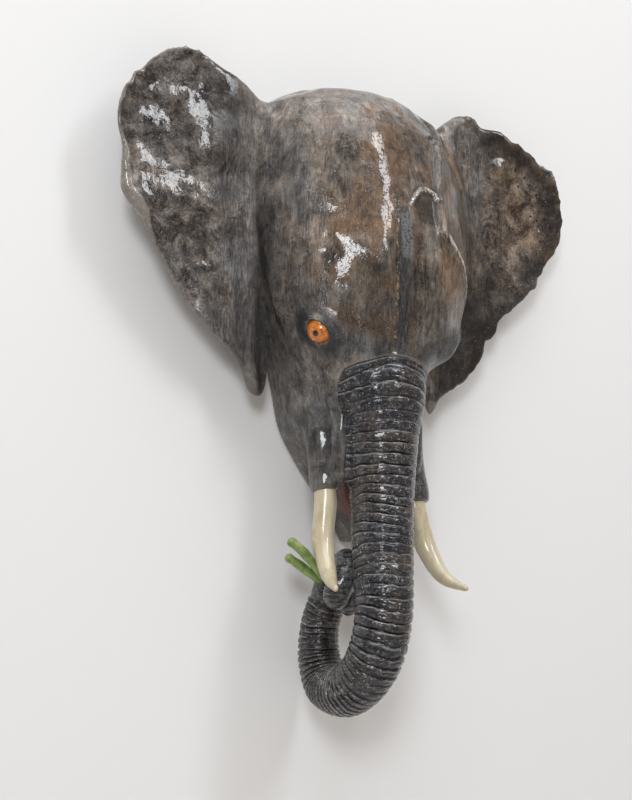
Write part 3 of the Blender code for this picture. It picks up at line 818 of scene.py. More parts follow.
def relief_of(mesh):
    """How much each vertex stands above its neighbours, from -1 in a crevice to 1 on an edge."""
    points, normals = vertex_points(mesh), vertex_points(mesh, "normal")
    ends = np.empty(2 * len(mesh.edges), int)
    mesh.edges.foreach_get("vertices", ends)
    ends = ends.reshape(-1, 2)
    total, count = np.zeros_like(points), np.zeros(len(points))
    for a, b in ((0, 1), (1, 0)):
        np.add.at(total, ends[:, a], points[ends[:, b]])
        np.add.at(count, ends[:, a], 1)
    rise = ((points - total / count[:, None]) * normals).sum(axis=1)
    length = np.linalg.norm(points[ends[:, 0]] - points[ends[:, 1]], axis=1).mean()
    rise = np.clip(rise / length * 6, -1.5, 1.5)
    for _ in range(3):
        mean = np.zeros(len(points))
        for a, b in ((0, 1), (1, 0)):
            np.add.at(mean, ends[:, a], rise[ends[:, b]])
        rise = 0.5 * rise + 0.5 * mean / count
    return np.clip(rise * 1.6, -1, 1)


def store(mesh, name, values):
    layer = mesh.attributes.new(name, "FLOAT", "POINT")
    layer.data.foreach_set("value", np.asarray(values, np.float32))


def soften_joins(item):
    """Lets the ears and the trunk flow into the head where they join it."""
    points = vertex_points(item.data)
    x, y, z = points.T
    ears = hump(x + 0.106, 0.034) * within(z, 0.004, 0.3, 0.03)
    ears = np.maximum(ears, hump(x - 0.101, 0.022) * within(z, -0.02, 0.3, 0.03))
    chin = 0.1 * within(z, -0.18, -0.07, 0.015) * within(x, -0.062, 0.056, 0.01) * (y < -0.02)
    weight = np.maximum(ears, chin) * (y < -0.008)
    group = item.vertex_groups.new(name="joins")
    level = np.round(weight * JOIN_LEVELS).astype(int)
    for step in range(1, JOIN_LEVELS + 1):
        group.add(np.flatnonzero(level == step).tolist(), step / JOIN_LEVELS, "REPLACE")
    soften(item, JOIN_SOFTENING).vertex_group = "joins"
    return settle(item, "joined")


def smooth_skin():
    """Head, ears, sheaths and the trunk's upper part, fused and still without relief."""
    bulk = object_from("bulk", [bulk_shape()])
    lip = head_surface(LIP_SHARE, 0.0)
    centre = lip + np.array([0.0, LIP_THICKNESS - MOUTH_DEPTH, MOUTH_RISE])
    scoop = object_from("scoop", [ball_shape(centre, (MOUTH_WIDTH / 2, MOUTH_DEPTH, MOUTH_HEIGHT / 2), 48)])
    cut = bulk.modifiers.new("mouth", "BOOLEAN")
    cut.operation = "DIFFERENCE"
    cut.solver = "EXACT"
    cut.object = scoop
    bulk = settle(bulk, "scooped")
    bpy.data.objects.remove(scoop)
    shapes = [shape_of(bulk.data)]
    bpy.data.objects.remove(bulk)
    shapes += [ear_shape(RIM_RIGHT, -1, 2), ear_shape(RIM_LEFT, 1, 5)]
    shapes += [tube_shape(sheath_rows(name, 40), 48) for name in SIDES]
    for course in CORNERS:
        rows = curve_through([(*place, CORNER_RADIUS, CORNER_RADIUS) for place in course], 30)
        shapes.append(tube_shape(round_ends(rows, (0, -1)), 32))
    shapes.append(tube_shape(trunk_rows(TRUNK_PATH, TRUNK_ROWS)[:UPPER_ROWS], 64))
    return soften_joins(fuse(object_from("clay", shapes), CLAY_GRAIN, SOFTENING, "clay"))


def glazed_head(skin):
    """The smooth skin with the clay's relief; it draws back where the folded trunk covers it."""
    mesh = skin.data
    points = vertex_points(mesh)
    behind = points[:, 1] > -0.004
    rows = trunk_rows(TRUNK_PATH, TRUNK_ROWS)[:UPPER_ROWS:3]
    beside = np.min([np.linalg.norm(points - row[:3], axis=1) / row[3] for row in rows], axis=0)
    hanging = points[:, 2] < -0.188
    cover = collar_cover(points) * np.where(hanging, np.clip((1.3 - beside) / 0.1, 0, 1), 1)
    push = head_relief(points) * (1 - cover) - UNDER_TRUNK * cover
    points = points + vertex_points(mesh, "normal") * (push * ~behind)[:, None]
    points[points[:, 1] > -0.0009, 1] = 0.0
    move_to(mesh, points)
    head = thin_out(skin, HEAD_FACES, "glazed_head")
    paint_head(head.data)
    return head


# Places of the glazes, and of painted shade and highlights


def lay(marks, name, values):
    """Adds to a mark, keeping the stronger of old and new at each point."""
    marks[name] = np.maximum(marks.get(name, 0.0), values)


def mark_eyes(marks, points):
    """Rings round the eyes, the glaze pooled there, the lid's edge, painted shade in the tear duct and a
    painted highlight above.
    """
    marks["ring"] = np.full(len(points), 9.0)
    tilt = math.radians(EYE_TILT)
    for name, side in SIDES.items():
        wide, long, near = eye_plane(points, name)
        rise = long * math.cos(tilt) + wide * math.sin(tilt)
        nearer = (wide * math.cos(tilt) - long * math.sin(tilt)) * -side
        reach = np.hypot(wide / EYE_OPEN[0], long / EYE_OPEN[1])
        marks["ring"] = np.where(near, np.minimum(marks["ring"], reach), marks["ring"])
        lay(marks, "slate", near * hump(reach, 3.0, 4))
        lay(marks, "pool", near * np.clip(0.35 + abs(nearer + 0.001) / 0.01, 0, 1))
        lay(marks, "rim", near * np.clip(0.6 - rise / 0.02 + nearer / 0.02, 0, 1))
        # Painted shade in the tear duct and in the socket behind the eyeball.
        duct = hump(np.hypot(nearer + 0.0085, rise - 0.014), 0.003)
        lay(marks, "dark", near * np.maximum(duct, reach < 0.95))
        # A pale yellow painted highlight on the lid above the eye.
        patch = hump(np.hypot((nearer - 0.0005) / 1.25, rise - 0.0122), 0.0038)
        lay(marks, "cream", near * patch * (reach > 0.98))


def mark_temple(marks, points):
    """The torn fold on the far temple, the round one behind it with painted shade behind that, and the
    fibres over both.
    """
    marks["folds"], marks["strand"] = np.zeros((2, len(points)))
    for behind, (side, *_, knots) in enumerate(TEMPLE_FOLDS[:2]):
        across, along = fold_frame(points, knots, side)
        here = hump(np.where(across > 0, across, 2.2 * across), 0.013) * np.clip(along / 0.1, 0, 1)
        marks["strand"] = np.where(here > marks["folds"], across, marks["strand"])
        lay(marks, "folds", here)
        if behind:
            # Painted shade in the hollow behind the round fold.
            lay(marks, "dark", 0.5 * hump(across - 0.012, 0.005))
        else:
            marks["fold"] = np.clip(across, -0.03, 0.03)
            marks["low"] = np.clip((along - 0.42) / 0.16, 0, 1)
            marks["fold_end"] = np.clip(along / 0.06, 0, 1) * np.clip((1 - along) / 0.06, 0, 1)


def mark_ears(marks, points, on_ear):
    """Colour of the ears, their brushed strips beside the head, and painted shade by their roots, in the far
    ear and beside the trunk.
    """
    x, y, z = points.T
    near, far = on_ear * (x < 0), on_ear * (x > 0)
    lay(marks, "warm", np.maximum(0.8 * far, 0.22 * near))
    ragged = x + 0.012 * noise(points * (1.0, 1.0, 0.4), 0.014, 71)
    brushed = 0.8 * within(ragged, -0.136, -0.09, 0.022) * within(z, -0.06, 0.13, 0.04)
    brushed = np.maximum(brushed, 0.6 * within(ragged, 0.118, 0.146, 0.016) * within(z, 0.0, 0.16, 0.03))
    lay(marks, "slate", np.maximum(0.6 * near, brushed))
    marks["brushed"] = np.maximum(brushed, hump(x + 0.106, 0.018) * within(z, -0.1, 0.2, 0.01))
    lay(marks, "cream", hump(np.hypot(x - 0.148, z - 0.188), 0.009) * (x > ear_root()))
    outline = closed_through(RIM_LEFT, 300) * (EAR_SPAN, EAR_HEIGHT) + (ear_root(), CROWN_Z - EAR_DROP)
    rim = line_distance(points, outline)
    band = hump(rim - 0.008, 0.013) * within(z, 0.03, 0.2, 0.03) * within(x, 0.15, 0.3, 0.02)
    edge = hump(rim, 0.012) * within(z, -0.2, 0.05, 0.03) * (x > ear_root())
    low = within(z, -0.3, -0.03, 0.04)
    # Painted shade: a dark band inside the far ear's rolled upper rim, with its lower rim and lower part
    # darkened.
    lay(marks, "dark", far * np.maximum(np.maximum(0.9 * band, 0.6 * edge), low))
    lay(marks, "dark", 0.22 * brushed * (x < 0))
    # Painted shade where the near ear meets the head: its lower root and the crease along it.
    lay(marks, "dark", 0.45 * within(x, -0.125, -0.096, 0.015) * (1 - within(z, 0.02, 0.3, 0.06)))
    lay(marks, "dark", hump(x + 0.1035, 0.0045) * within(z, -0.11, -0.015, 0.02) * (y > -0.07))
    # Painted shade in the hollow behind the far temple fold.
    behind_fold = within(x, 0.083, 0.112, 0.008) * within(z, -0.055, 0.04, 0.03)
    lay(marks, "dark", behind_fold * np.clip((y + 0.09) / 0.03, 0, 1))
    # Painted shade on the far cheek where it turns back to the wall beside the trunk.
    beside_trunk = within(z, -0.3, -0.01, 0.04) * np.clip((x - 0.082) / 0.012, 0, 1)
    lay(marks, "dark", 0.8 * beside_trunk * np.clip((y + 0.075) / 0.02, 0, 1))


def mark_face(marks, points, off_ear):
    """Colour of the face: crown, forehead, seam, tear, cheeks, sheaths and the mouth's inside, with painted
    sheen and shade.
    """
    x, y, z = points.T
    share = (CROWN_Z - z) / HEAD_HEIGHT
    angle = face_angle(points)
    front = y < FACE_Y
    # Painted sheen: the crown is made lighter grey.
    marks["pale"] = within(share, -0.1, 0.035, 0.035) * off_ear
    marks["plain"] = within(share, 0.05, 0.38, 0.06) * within(angle, -85, -5, 25) * off_ear
    lay(marks, "warm", within(share, 0.1, 0.58, 0.12) * within(angle, -34, 70, 26) * off_ear)
    marks["seam"] = within(z, -0.079, 0.056, 0.003) * front
    blob = within(x, SEAM[0] + 0.006, SEAM[1] + 0.0025, 0.0015) * within(z, 0.01, 0.048, 0.004)
    marks["pitted"] = blob * front
    gap, under = tear_line(points)
    marks["gap"] = np.minimum(gap, 0.03)
    # Painted shade in the hollow under the torn arch.
    lay(marks, "dark", 0.9 * under * (gap > 0.001))
    # Painted shade in the crease where the near ear meets the head.
    lay(marks, "dark", 0.85 * within(share, 0.3, 0.62, 0.04) * hump(x + 0.104, 0.007) * (y > -0.07))
    # Painted shade under the brow.
    lay(marks, "dark", 0.4 * hump(np.hypot((x + 0.022) / 1.2, z + 0.04), 0.05) * front)
    lay(marks, "slate", 0.6 * within(share, 0.6, 1.2, 0.12) * off_ear)
    by_trunk = within(z, -0.21, -0.07, 0.016) * within(x, -0.062, 0.058, 0.01) * (y < -0.05)
    lay(marks, "slate", 0.9 * by_trunk)
    for name in SIDES:
        rows = sheath_rows(name, 40)
        near = np.min([np.linalg.norm(points - row[:3], axis=1) - row[3] for row in rows], axis=0)
        lay(marks, "slate", 0.65 * hump(np.maximum(near, 0.0), 0.016) * off_ear)
    marks["coarse"] = within(x, 0.024, 0.07, 0.004) * within(z, -0.212, -0.11, 0.012) * (y < -0.03)
    marks["red"] = hump(np.linalg.norm((points - THROAT) / (1, 1.2, 1.5), axis=1), 0.016, 4)


def paint_head(mesh):
    """Stores where each glaze lies, and where shade, sheen and highlights are painted."""
    points = vertex_points(mesh)
    on_ear = np.clip((abs(points[:, 0]) - ear_root() - 0.006) / 0.03, 0.0, 1.0)
    marks = {"rise": relief_of(mesh), "ear": on_ear}
    mark_eyes(marks, points)
    mark_temple(marks, points)
    mark_ears(marks, points, on_ear)
    mark_face(marks, points, 1 - on_ear)
    for name, values in marks.items():
        store(mesh, name, values)


# Trunk


def skin_reach(skin, middles, ways):
    """Length of each way out from the trunk's middle to the smooth skin, or its own where that is far."""
    points, faces = shape_of(skin.data)
    tree = BVHTree.FromPolygons(points.tolist(), faces)
    lengths = np.linalg.norm(ways, axis=-1)
    reach = lengths.copy()
    for place in np.ndindex(lengths.shape):
        found = tree.ray_cast(middles[place].tolist(), (ways[place] / lengths[place]).tolist())[3]
        if found is not None and found < 1.6 * lengths[place]:
            reach[place] = found
    return reach


def carving(turn, phase, local):
    """Groove, lip and finer folds at each point, and how far the skin is set in there."""
    number = np.round(phase)
    off = (phase - number) * local
    lane = np.column_stack([number * 0.9, turn[:, 1] * 34, turn[:, 2] * 34])
    strong = np.clip(0.8 + 0.8 * noise(lane, 1.0, 7), 0.05, 1.25)
    groove = strong * hump(off, GROOVE_WIDTH)
    lip = strong * hump(off - LIP_OFF, LIP_WIDTH)
    fine = np.zeros(len(turn))
    for split, drift, seed in FINE_FOLDS:
        fine_phase = phase * split + drift * noise(turn, 0.01, seed)
        fine_off = (fine_phase - np.round(fine_phase)) * local / split
        shown = np.clip(1.8 * noise(turn * (1.0, 0.5, 0.5), 0.015, seed + 5) + 0.3, 0, 1)
        fine = np.maximum(fine, shown * hump(fine_off, FINE_WIDTH))
    grain = 0.00016 * noise(turn, 0.0065, 12) + 0.0002 * noise(turn, 0.003, 13)
    grain += 0.00015 * noise(turn, 0.0017, 14)
    pillow = PILLOW * np.cos(2 * math.pi * off / local)
    inset = GROOVE_DEPTH * groove - LIP_RISE * lip + FINE_DEPTH * fine + pillow + grain - 0.0004
    return groove, lip, fine, inset


def folded_trunk(skin):
    """The trunk with its carved folds, each arched, uneven and fading out here and there."""
    rows = trunk_rows(TRUNK_PATH, TRUNK_ROWS)
    length = np.linalg.norm(np.diff(rows[:, :3], axis=0), axis=1).sum()
    angle = np.linspace(0.0, 2 * math.pi, TRUNK_ROUND, endpoint=False)[None, :]
    share = np.linspace(0.0, 1.0, TRUNK_RINGS)[:, None]
    arch = FOLD_ARCH * np.maximum(1 - share * ARCH_FADES, 0.0)
    at = FOLD_ARCH + share * (len(rows) - 1 - FOLD_ARCH) - arch * np.cos(angle)
    middles, ways = tube_frame(rows, at, angle + 0 * share)
    lengths = np.linalg.norm(ways, axis=-1)
    upper = int(OVER_FACE * TRUNK_RINGS)
    joined = lengths.copy()
    joined[:upper] = skin_reach(skin, middles[:upper], ways[:upper])
    radius = lengths + (joined - lengths) * np.clip((FREE_FROM - share) / 0.08, 0, 1)
    out = ways / lengths[..., None]
    places = middles + out * radius[..., None]
    on_face = share < OVER_FACE
    cover = 1 - (1 - collar_cover(places)) * on_face
    around = np.broadcast_arrays(share * length, NOISE_RADIUS * np.cos(angle), NOISE_RADIUS * np.sin(angle))
    turn = np.stack(around, axis=-1).reshape(-1, 3)
    spacing = np.interp(share[:, 0], FOLD_SPACING[:, 0], FOLD_SPACING[:, 1])
    count = np.cumsum(length / (TRUNK_RINGS - 1) / spacing)
    local = np.repeat(spacing, TRUNK_ROUND)
    wander = 0.42 * noise(turn * (1.0, 0.7, 0.7), 0.026, 3) + 0.1 * noise(turn, 0.009, 4)
    phase = np.repeat(count, TRUNK_ROUND) + wander * local / USUAL_SPACING ** 0.5 / local ** 0.5
    groove, lip, fine, inset = carving(turn, phase, local)
    inset = inset.reshape(cover.shape)
    ledge = np.interp(places[..., 0], COLLAR[:, 0], COLLAR[:, 1]) - places[..., 2]
    lift = SKIN_LIFT * cover - SKIN_SINK * (1 - cover)
    lift = lift + COLLAR_BULGE * hump(ledge - 0.003, 0.0022) * cover * on_face
    rings = middles + out * (radius + lift - inset * cover ** 2)[..., None]
    trunk = object_from("folded_trunk", [ring_shape(rings)])
    ends = [0.0, 0.0]
    # The groove mark places painted shade in the grooves.
    store(trunk.data, "groove", np.concatenate([np.clip(groove + 0.45 * fine, 0, 1), ends]))
    # Crest mark: light grey on the lips and the collar line, partly glaze and partly painted highlight.
    seen = np.clip(lip - 2 * groove, 0, 1)
    collar_line = (hump(ledge - 0.0014, 0.0012) * cover * on_face).ravel()
    store(trunk.data, "crest", np.concatenate([np.maximum(seen, collar_line), ends]))
    return trunk


def trunk_tip():
    """The curled tip with its two lobes."""
    lobe = np.array(LOBE_RADII) * TRUNK_WIDTH
    rows = round_ends(trunk_rows(TIP_PATH, 60), (-1,))
    shapes = [tube_shape(rows, 48), ball_shape(on_trunk(TIP_LOBE), lobe, 32)]
    tip = fuse(object_from("tip", shapes), TIP_GRAIN, TIP_SOFTENING, "trunk_tip")
    push_out(tip.data, 0.0006 * layered(vertex_points(tip.data), 0.013, 3, 91))
    rise = relief_of(tip.data)
    # Painted shade in the tip's hollows, and light grey on its bulges that is partly painted highlight.
    store(tip.data, "groove", np.clip(-rise, 0, 1))
    store(tip.data, "crest", np.clip(rise, 0, 1))
    return tip


# Tusks, eyes and stems


def ivory_tusk(name):
    rows = round_ends(tusk_rows(name, 110), (-1,))
    tusk = object_from(f"ivory_tusk_{name}", [tube_shape(rows, 56)])
    points = vertex_points(tusk.data)
    push_out(tusk.data, 0.00022 * layered(points * (1, 1, 0.4), 0.01, 3, 101))
    store(tusk.data, "along", np.linalg.norm(points - tusk_base(name), axis=1) / TUSK_LENGTHS[name])
    return tusk


def amber_eye(name):
    centre = eye_centre(name)
    eye = object_from(f"amber_eye_{name}", [ball_shape(centre, (EYE_DIAMETER / 2,) * 3, 72)])
    aim = toward(eye_seat(name)[1] + np.array(PUPIL_AIM[name]))
    off = vertex_points(eye.data) - centre - aim * EYE_DIAMETER / 2
    store(eye.data, "pupil", np.linalg.norm(off, axis=1) / PUPIL_RADIUS)
    return eye


def green_stem(name):
    rows = round_ends(stem_rows(name, 70), (0, -1))
    rows[:, 3] *= 1 + 0.05 * np.sin(np.arange(len(rows)) * 0.35)
    stem = object_from(f"green_stem_{name}", [tube_shape(rows, 32)])
    push = 0.00016 * layered(vertex_points(stem.data), 0.006, 3, 111)
    push_out(stem.data, push)
    store(stem.data, "rise", push / 0.0002)
    return stem


# Materials


class Value:
    """What a node gives at each point of a surface; tree is the node tree in work."""

    tree = None

    def __init__(self, socket):
        self.socket = socket

    def __add__(self, other):
        return maths("ADD", self, other)

    def __sub__(self, other):
        return maths("SUBTRACT", self, other)

    def __mul__(self, other):
        return maths("MULTIPLY", self, other)


def set_inputs(node, inputs):
    """Sets a node's inputs, each to a plain value or to what another node gives."""
    for key, value in inputs.items():
        socket = node.inputs[key]
        if isinstance(value, Value):
            Value.tree.links.new(value.socket, socket)
        else:
            socket.default_value = (*value, 1.0) if socket.type == "RGBA" else value


def add(kind, inputs, **settings):
    node = Value.tree.nodes.new(kind)
    for key, value in settings.items():
        setattr(node, key, value)
    set_inputs(node, inputs)
    return node


def result(kind, inputs, key=0, **settings):
    """What a new node gives at one of its outputs."""
    return Value(add(kind, inputs, **settings).outputs[key])


def new_material(name):
    material = bpy.data.materials.new(name)
    material.use_nodes = True
    Value.tree = material.node_tree
    return material, Value.tree.nodes["Principled BSDF"]


def field(name):
    return result("ShaderNodeAttribute", {}, "Fac", attribute_name=name)


def own_place():
    return result("ShaderNodeTexCoord", {}, "Object")


def texture(scale, detail=4.0, roughness=0.55, stretch=(1.0, 1.0, 1.0), shift=0.0, distortion=0.0):
    """Noise over the object's own coordinates, in bumps per metre."""
    mapping = {"Vector": own_place(), "Location": (shift,) * 3, "Scale": stretch}
    values = {"Vector": result("ShaderNodeMapping", mapping), "Scale": scale, "Detail": detail}
    return result("ShaderNodeTexNoise", {**values, "Roughness": roughness, "Distortion": distortion}, "Fac")


def spread(value, low, high, to_low=0.0, to_high=1.0):
    """Maps low..high to to_low..to_high, held at the ends."""
    values = {"Value": value, "From Min": low, "From Max": high, "To Min": to_low, "To Max": to_high}
    return result("ShaderNodeMapRange", values)


def fade(value, low, high):
    """1 up to low, falling to 0 at high."""
    return spread(value, low, high, 1.0, 0.0)


def maths(operation, a, b=0.0):
    return result("ShaderNodeMath", {0: a, 1: b}, operation=operation)


def larger(a, b):
    return maths("MAXIMUM", a, b)


def mix(factor, a, b, blend_type="MIX"):
    return result("ShaderNodeMix", {0: factor, 6: a, 7: b}, 2, data_type="RGBA", blend_type=blend_type)


def between(factor, a, b):
    """The number a where the factor is 0 and b where it is 1."""
    return result("ShaderNodeMix", {"Factor": factor, "A": a, "B": b})


def ramp(value, *stops):
    """Colours by value; each stop is its place and its red, green and blue."""
    node = add("ShaderNodeValToRGB", {0: value})
    points = node.color_ramp.elements
    while len(points) < len(stops):
        points.new(0.5)
    for point, (place, *colour) in zip(points, stops):
        point.position = place
        point.color = (*colour, 1.0)
    return Value(node.outputs[0])


def bumps(*layers):
    """A normal from layers of relief, each a height, a strength and a distance, the deepest first."""
    below = {}
    for height, strength, distance in layers:
        values = {"Height": height, "Strength": strength, "Distance": distance}
        below = {"Normal": result("ShaderNodeBump", {**values, **below})}
    return below["Normal"]


def coated(colour, *coats):
    """The colour under coats laid in turn, each a place and a colour."""
    for place, tone in coats:
        colour = mix(place, colour, tone)
    return colour


def waves(value, length):
    """A sine from 0 to 1 with one wave for each length of the value."""
    return spread(maths("SINE", value * (2 * math.pi / length)), -1.0, 1.0)


def scratches(scale, width, stretch=(1.0, 1.0, 1.0), shift=0.0):
    """Thin wandering lines, 1 on the line: where a noise crosses its middle."""
    off = maths("ABSOLUTE", texture(scale, 4.0, 0.6, stretch, shift, 0.8) - 0.5)
    return fade(off, 0.3 * width, width)


def line(value, at, width):
    """1 where the value is within about half the width of a place, else 0."""
    return fade(maths("ABSOLUTE", value - at), 0.35 * width, 0.65 * width)


def strayed(value, by, reach):
    """The value moved to and fro by a noise, by half of reach at most."""
    return value + (by - 0.5) * reach


BLACK = (0.006, 0.006, 0.007)
DARK = (0.022, 0.02, 0.019)
PALE = (0.36, 0.33, 0.29)

# Needle pricks in the ears, as x and z in metres
PRICKS = [
    (0.1914, 0.1372), (0.2093, 0.1229), (0.2253, 0.1023), (0.2101, 0.1072), (0.2312, 0.0705),
    (0.1983, 0.0954), (0.203, 0.13), (0.218, 0.113), (0.206, 0.115), (0.196, 0.12),
    (0.22, 0.086), (0.228, 0.088), (0.223, 0.064), (0.212, 0.09), (0.234, 0.08),
    (-0.206, 0.137), (-0.215, 0.125), (-0.195, 0.129), (-0.22, 0.145), (-0.188, 0.148),
]
PRICK_RADIUS = 0.0014


def pricked():
    """Nearness to the closest needle prick: 1 in its middle and 0 outside."""
    flat = result("ShaderNodeVectorMath", {0: own_place(), 1: (1.0, 0.0, 1.0)}, operation="MULTIPLY")
    nearest = 1.0
    for x, z in PRICKS:
        gap = result("ShaderNodeVectorMath", {0: flat, 1: (x, 0.0, z)}, "Value", operation="DISTANCE")
        nearest = maths("MINIMUM", gap, nearest)
    return fade(nearest, 0.55 * PRICK_RADIUS, PRICK_RADIUS)


def brush_marks(strokes, broad, mottle, worn, specks):
    """Light and dark of the ground: strokes on the face and beside it, mottling on the ears."""
    on_face = strokes * 0.27 + broad * 0.33 + mottle * 0.42 + specks * 0.04 - 0.023
    mottled = mottle * 0.7 + worn * 0.42 + specks * 0.26 - 0.19
    stroked = strokes * 0.8 + broad * 0.5 - 0.155
    return between(field("ear"), on_face, between(field("brushed"), mottled, stroked))


def ground_tones(marks, patches):
    """Grey brown, with warm and slate patches and slow changes of shade."""
    grey = ramp(
        marks, (0.39, 0.014, 0.012, 0.011), (0.45, 0.056, 0.048, 0.042), (0.5, 0.128, 0.109, 0.092),
        (0.55, 0.205, 0.174, 0.145), (0.63, 0.37, 0.315, 0.255),
    )
    warm = ramp(marks, (0.39, 0.024, 0.014, 0.009), (0.5, 0.132, 0.087, 0.057), (0.63, 0.3, 0.21, 0.14))
    slate = ramp(marks, (0.39, 0.008, 0.009, 0.012), (0.5, 0.064, 0.07, 0.078), (0.63, 0.21, 0.22, 0.23))
    clouds = texture(17.0, 4.0, 0.6, shift=40.0, distortion=0.6)
    at_slate = field("slate") * spread(patches, 0.34, 0.62, 1.0, 0.45)
    colour = mix(field("warm") * spread(patches, 0.44, 0.53), grey, warm)
    colour = mix(larger(at_slate, spread(clouds, 0.52, 0.62, 0.0, 0.42)), colour, slate)
    shade = spread(texture(13.0, 4.0, 0.6, shift=14.0), 0.36, 0.64, 0.64, 1.26)
    colour = mix(1.0, colour, shade, "MULTIPLY")
    return mix(field("plain"), colour, (1.42, 1.35, 1.27), "MULTIPLY")


def worn_coats_and_crown_sheen(worn, cracks):
    """A painted sheen on the crown, dark blotches, cracks and light scratches."""
    blotches = spread(texture(40.0, 5.0, 0.65, shift=7.0), 0.53, 0.6) * 0.55
    light = scratches(1.0, 0.012, (150.0, 150.0, 40.0), 19.0) * spread(worn, 0.5, 0.58)
    return [
        # Painted sheen on the crown.
        (field("pale") * 0.1, (0.33, 0.33, 0.33)),
        (blotches * spread(field("ear"), 0.0, 1.0, 0.45, 1.0), DARK),
        (cracks * 0.65, BLACK),
        (light * 0.4, PALE),
    ]


def seam_coats(strokes):
    """The slate stripe down the forehead, its pitted top and the gold along its edge."""
    place = result("ShaderNodeSeparateXYZ", {0: own_place()})
    place = strayed(place, texture(70.0, 5.0, 0.7, shift=31.0), 0.01)
    seam = field("seam")
    stripe = seam * line(place, (SEAM[0] + SEAM[1]) / 2, SEAM[1] - SEAM[0])
    tone = ramp(strokes, (0.36, 0.016, 0.018, 0.021), (0.52, 0.046, 0.05, 0.055), (0.66, 0.13, 0.135, 0.14))
    pits = spread(texture(430.0, 2.0, 0.5, shift=3.0), 0.38, 0.5)
    gold = seam * line(place, SEAM[0] + 0.0005, 0.0022)
    gold = gold * spread(texture(110.0, 5.0, 0.75, shift=23.0), 0.52, 0.57)
    return [
        (stripe * 0.85, tone),
        (field("pitted") * pits * 0.7, (0.19, 0.2, 0.205)),
        (gold * 0.8, (0.42, 0.31, 0.15)),
    ]


def raised_coats(broad, specks, fibres):
    """Pale edges, black crevices, the fibres of the temple folds, the coarse far sheath and painted shade in
    hollows.
    """
    rise, coarse = field("rise"), field("coarse")
    drawn = field("folds") * spread(fibres, 0.6, 0.95) * spread(broad, 0.42, 0.56)
    return [
        # Pale edges where the glaze breaks, partly painted highlight.
        (spread(rise, 0.18, 0.8, 0.0, 0.5), PALE),
        (drawn * 0.65, (0.34, 0.3, 0.255)),
        # Black in crevices where the glaze pools, partly painted shade.
        (spread(rise, -0.1, -0.55, 0.0, 0.85), BLACK),
        (coarse * 0.6, (0.024, 0.025, 0.027)),
        (coarse * spread(specks, 0.54, 0.62) * 0.6, (0.22, 0.215, 0.2)),
        # The dark mark: painted shade in creases, hollows, the eyes' corners and under the brow, and darker
        # glaze on the near ear's brushed strip.
        (field("dark") * 0.9, BLACK),
    ]


def fold_coats(broad, mottle):
    """Painted shade in the crease before the temple fold and in the hollow behind its lower part; then its
    torn edge's place.
    """
    low, whole = field("low"), field("fold_end")
    across = strayed(field("fold"), broad, 0.006)
    # Painted shade in the crease and in the hollow behind the fold.
    crease = line(across, -0.0046, 0.0014) * fade(low, 0.0, 1.0) * whole * spread(mottle, 0.44, 0.54)
    hollow = spread(across, 0.001, 0.002) * fade(across, 0.006, 0.014) * low * whole
    # A light line along the torn edge: partly the glaze breaking, partly a painted highlight.
    edge = line(across, -0.0034, 0.0022) * low * whole * 0.7
    return [(crease * 0.65, BLACK), (hollow * 0.92, BLACK)], edge


def eye_coats(mottle, specks, at_eye, rings):
    """Lit rings round the eyes, dark glaze pooled against them, the lids' pale edge and a painted highlight
    above.
    """
    ring = field("ring")
    lit = at_eye * spread(rings, 0.7, 1.0) * spread(specks, 0.46, 0.56)
    reach = strayed(ring, mottle, 1.1)
    pooled = spread(reach, 1.02, 1.15) * fade(reach, 1.7, 2.6) * field("pool")
    cream = larger(field("cream"), line(ring, 1.04, 0.14) * field("rim") * 0.8)
    return [
        (lit * 0.45, (0.22, 0.235, 0.25)),
        (pooled * 0.88, (0.009, 0.012, 0.018)),
        # Pale yellow: the lids' edge and a patch on the far ear's top, and a painted highlight above each
        # eye.
        (cream * spread(specks, 0.38, 0.5), (0.38, 0.35, 0.29)),
    ]


